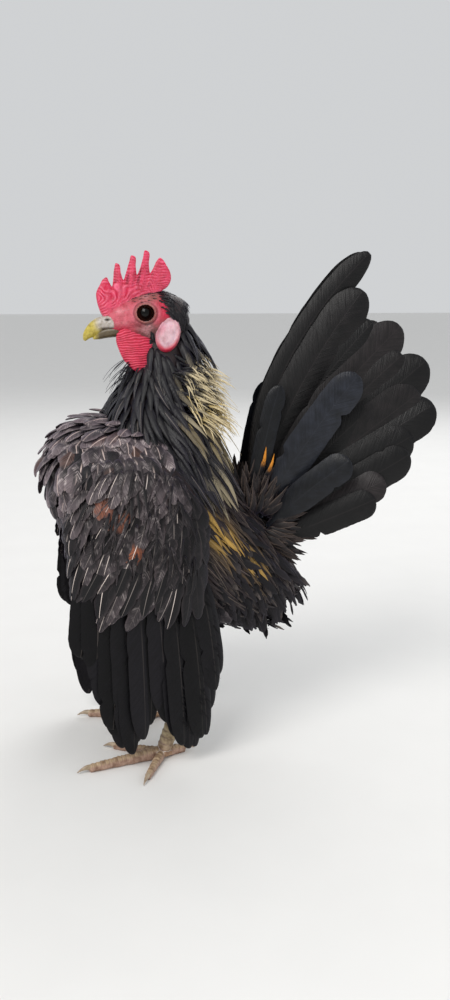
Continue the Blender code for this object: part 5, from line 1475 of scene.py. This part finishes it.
def buildFaceFeathers():
    # Short black feathers over the crown, the nape and behind the lobes, and fine bristles before the ear. They lie
    # back and down along the skull, and their roots are carried out to the finished skin.
    draw, coat = np.random.default_rng(90), faceCoat
    u, v, p, out = coatPlaces(surfaceOf(spineGrid(skullStations, 200, 150)), coat, draw)
    f, up, flank = p[:, 0], p[:, 2], np.abs(p[:, 1])
    line = np.interp(up, *crownLine)
    crown = f < line + draw.normal(0, 0.5, len(f))
    sparse = (up > 5.6) & (f < 8) & (flank > 1.5) & (draw.random(len(f)) < coat["bristleShare"])
    lobe = np.hypot((f + 9.4) / 6.2, (up + 7.4) / 8.6) < 1
    keep = (crown | sparse) & ~lobe
    skin = surfaceOf(headSkin()[0])
    # The jaw between the wattle and the lobe carries short dark feathers that point down over the throat.
    jaw = (np.abs(f + 2.6) < 3.0) & (up < -5.6) & (flank > 2.0) & ~crown & ~lobe
    jawRoot, jawFacing = onSurface(skin, u[jaw], v[jaw])
    jawLie = unit(tangentLie(vector(-0.25, 0, -1.0), jawFacing) + 0.12 * jawFacing + vector(0, 0, -0.5))
    jawTip = jawRoot + jawLie * draw.uniform(*coat["jawLength"], len(jawRoot))[:, None]
    clear = clearOfLobes(jawRoot, jawTip)
    jawRoot, jawTip, jawFacing, jawMaps = pick(clear, jawRoot, jawTip, jawFacing, pair(u[jaw], v[jaw]))
    u, v, p, out, f, line, sparse = pick(keep, u, v, p, out, f, line, sparse & ~crown)
    root, facing = onSurface(skin, u, v)
    count, many = len(f), len(jawRoot)
    lie = tangentLie(vector(-1.0, 0, -0.6 - 1.6 * smoothStep(-7, -13, f)), out)
    lie = unit(lie + out * 0.04 + draw.normal(0, 0.08, (count, 3)))
    lie = unit(lie + vector(0, 0, -0.45 * smoothStep(-6, -12, f)))
    length = np.interp(line - f, [0, 3, 8], [3.0, 4.2, 5.0]) * draw.uniform(0.8, 1.2, count)
    length = length * np.where(sparse, 0.8, 1.0)
    width = np.interp(length, [2, 6], [0.9, 2.2]) * np.where(sparse, 0.5, 1.0)
    shape = vaneShape(draw, count, **coat["vane"])
    reach = headPlace(p + lie * length[:, None]) - headPlace(p)
    cap = growVanes(root - facing * coat["sink"], root + reach, facing, width, shape,
                    makeMarks(draw.uniform(0, 0.6, count)), pair(u, v), 91)
    shape = vaneShape(draw, many, **coat["vane"])
    throat = growVanes(jawRoot - jawFacing * coat["sink"], jawTip, jawFacing, coat["jawWidth"], shape,
                       makeMarks(draw.uniform(0, 0.6, many)), jawMaps, 92)
    coatPiece("crownFeathers", [cap, throat], coat["look"], "hackle_feather")


buildSkin()
for hand in handNames:
    buildEye(hand)
    buildWattle(hand)
    buildEarlobe(hand)
    buildThighFeathers(hand)
    buildFoot(hand)
buildComb()
buildBill()
buildFaceFeathers()
print("stage: skin, head and legs")


# Floor, light and camera.

# Each soft box: (place, target, size, power, colour), in metres and watts.
studio = dict(
    key=((0.75, -0.65, 1.05), (0, 0, 0.12), 0.7, 10.5, (1.0, 0.98, 0.95)),
    fill=((0.9, 0.8, 0.5), (0, 0, 0.12), 1.2, 3.0, (0.94, 0.97, 1.0)),
    rim=((-0.8, 0.5, 0.9), (0, 0, 0.14), 0.8, 5.0, (1.0, 1.0, 1.0)),
    sky="#eceef0", skyStrength=0.75, floorHalf=12, paint=("#e4e3e1", "#e9e8e6"),
    cameraPlace=(0.4057, -0.0981, 0.1989), cameraTarget=(0.00731, -0.00618, 0.112), lens=34.2)


def addLight(name, place, target, size, power, colour):
    # A square soft box at place, facing target.
    light = bpy.data.lights.new(name, "AREA")
    light.size, light.energy, light.color = size, power, colour
    lamp = bpy.data.objects.new(name, light)
    lamp.location = place
    lamp.rotation_euler = (Vector(target) - Vector(place)).to_track_quat("-Z", "Y").to_euler()
    bpy.context.scene.collection.objects.link(lamp)
    return lamp


def buildStage():
    # A wide floor, three soft boxes, pale air all round, and the camera that took the photo.
    half = studio["floorHalf"]
    mesh = bpy.data.meshes.new("studioFloor")
    mesh.from_pydata([(-half, -half, 0), (half, -half, 0), (half, half, 0), (-half, half, 0)], [], [(0, 1, 2, 3)])
    floor = bpy.data.objects.new("studioFloor", mesh)
    bpy.context.scene.collection.objects.link(floor)
    # Matt emulsion paint, rolled on: an even pale skin with a faint mottle.
    material, add, shader, place = newMaterial("paintedFloor")
    mottle = add("TexNoise", {"Vector": place, "Scale": 30.0, "Detail": 4.0})
    dull, fresh = (hexColour(colour) for colour in studio["paint"])
    paint = add("Mix", {0: mottle, 6: dull, 7: fresh}, 2, **rgba)
    add(shader, {"Roughness": 0.9, "Base Color": paint})
    mesh.materials.append(material)
    for name in ("key", "fill", "rim"):
        lamp = addLight(name + "SoftBox", *studio[name])
        lamp.visible_glossy = name != "fill"  # the fill's wide reflection stays out of the eye
    world = bpy.data.worlds.new("studioAir")
    bpy.context.scene.world = world
    world.use_nodes = True
    addNode(world.node_tree, world.node_tree.nodes["Background"],
            {"Color": hexColour(studio["sky"]), "Strength": studio["skyStrength"]})
    camera = bpy.data.cameras.new("camera")
    camera.lens, camera.sensor_width, camera.clip_start = studio["lens"], 36.0, 0.01
    eye = bpy.data.objects.new("camera", camera)
    eye.location = studio["cameraPlace"]
    eye.rotation_mode = "QUATERNION"
    eye.rotation_quaternion = (Vector(studio["cameraTarget"]) - eye.location).to_track_quat("-Z", "Y")
    bpy.context.scene.collection.objects.link(eye)
    bpy.context.scene.camera = eye
    # Plain display colours, so a hex colour shows as it is written.
    bpy.context.scene.view_settings.view_transform = "Standard"


buildStage()
print("stage: floor, light and camera")
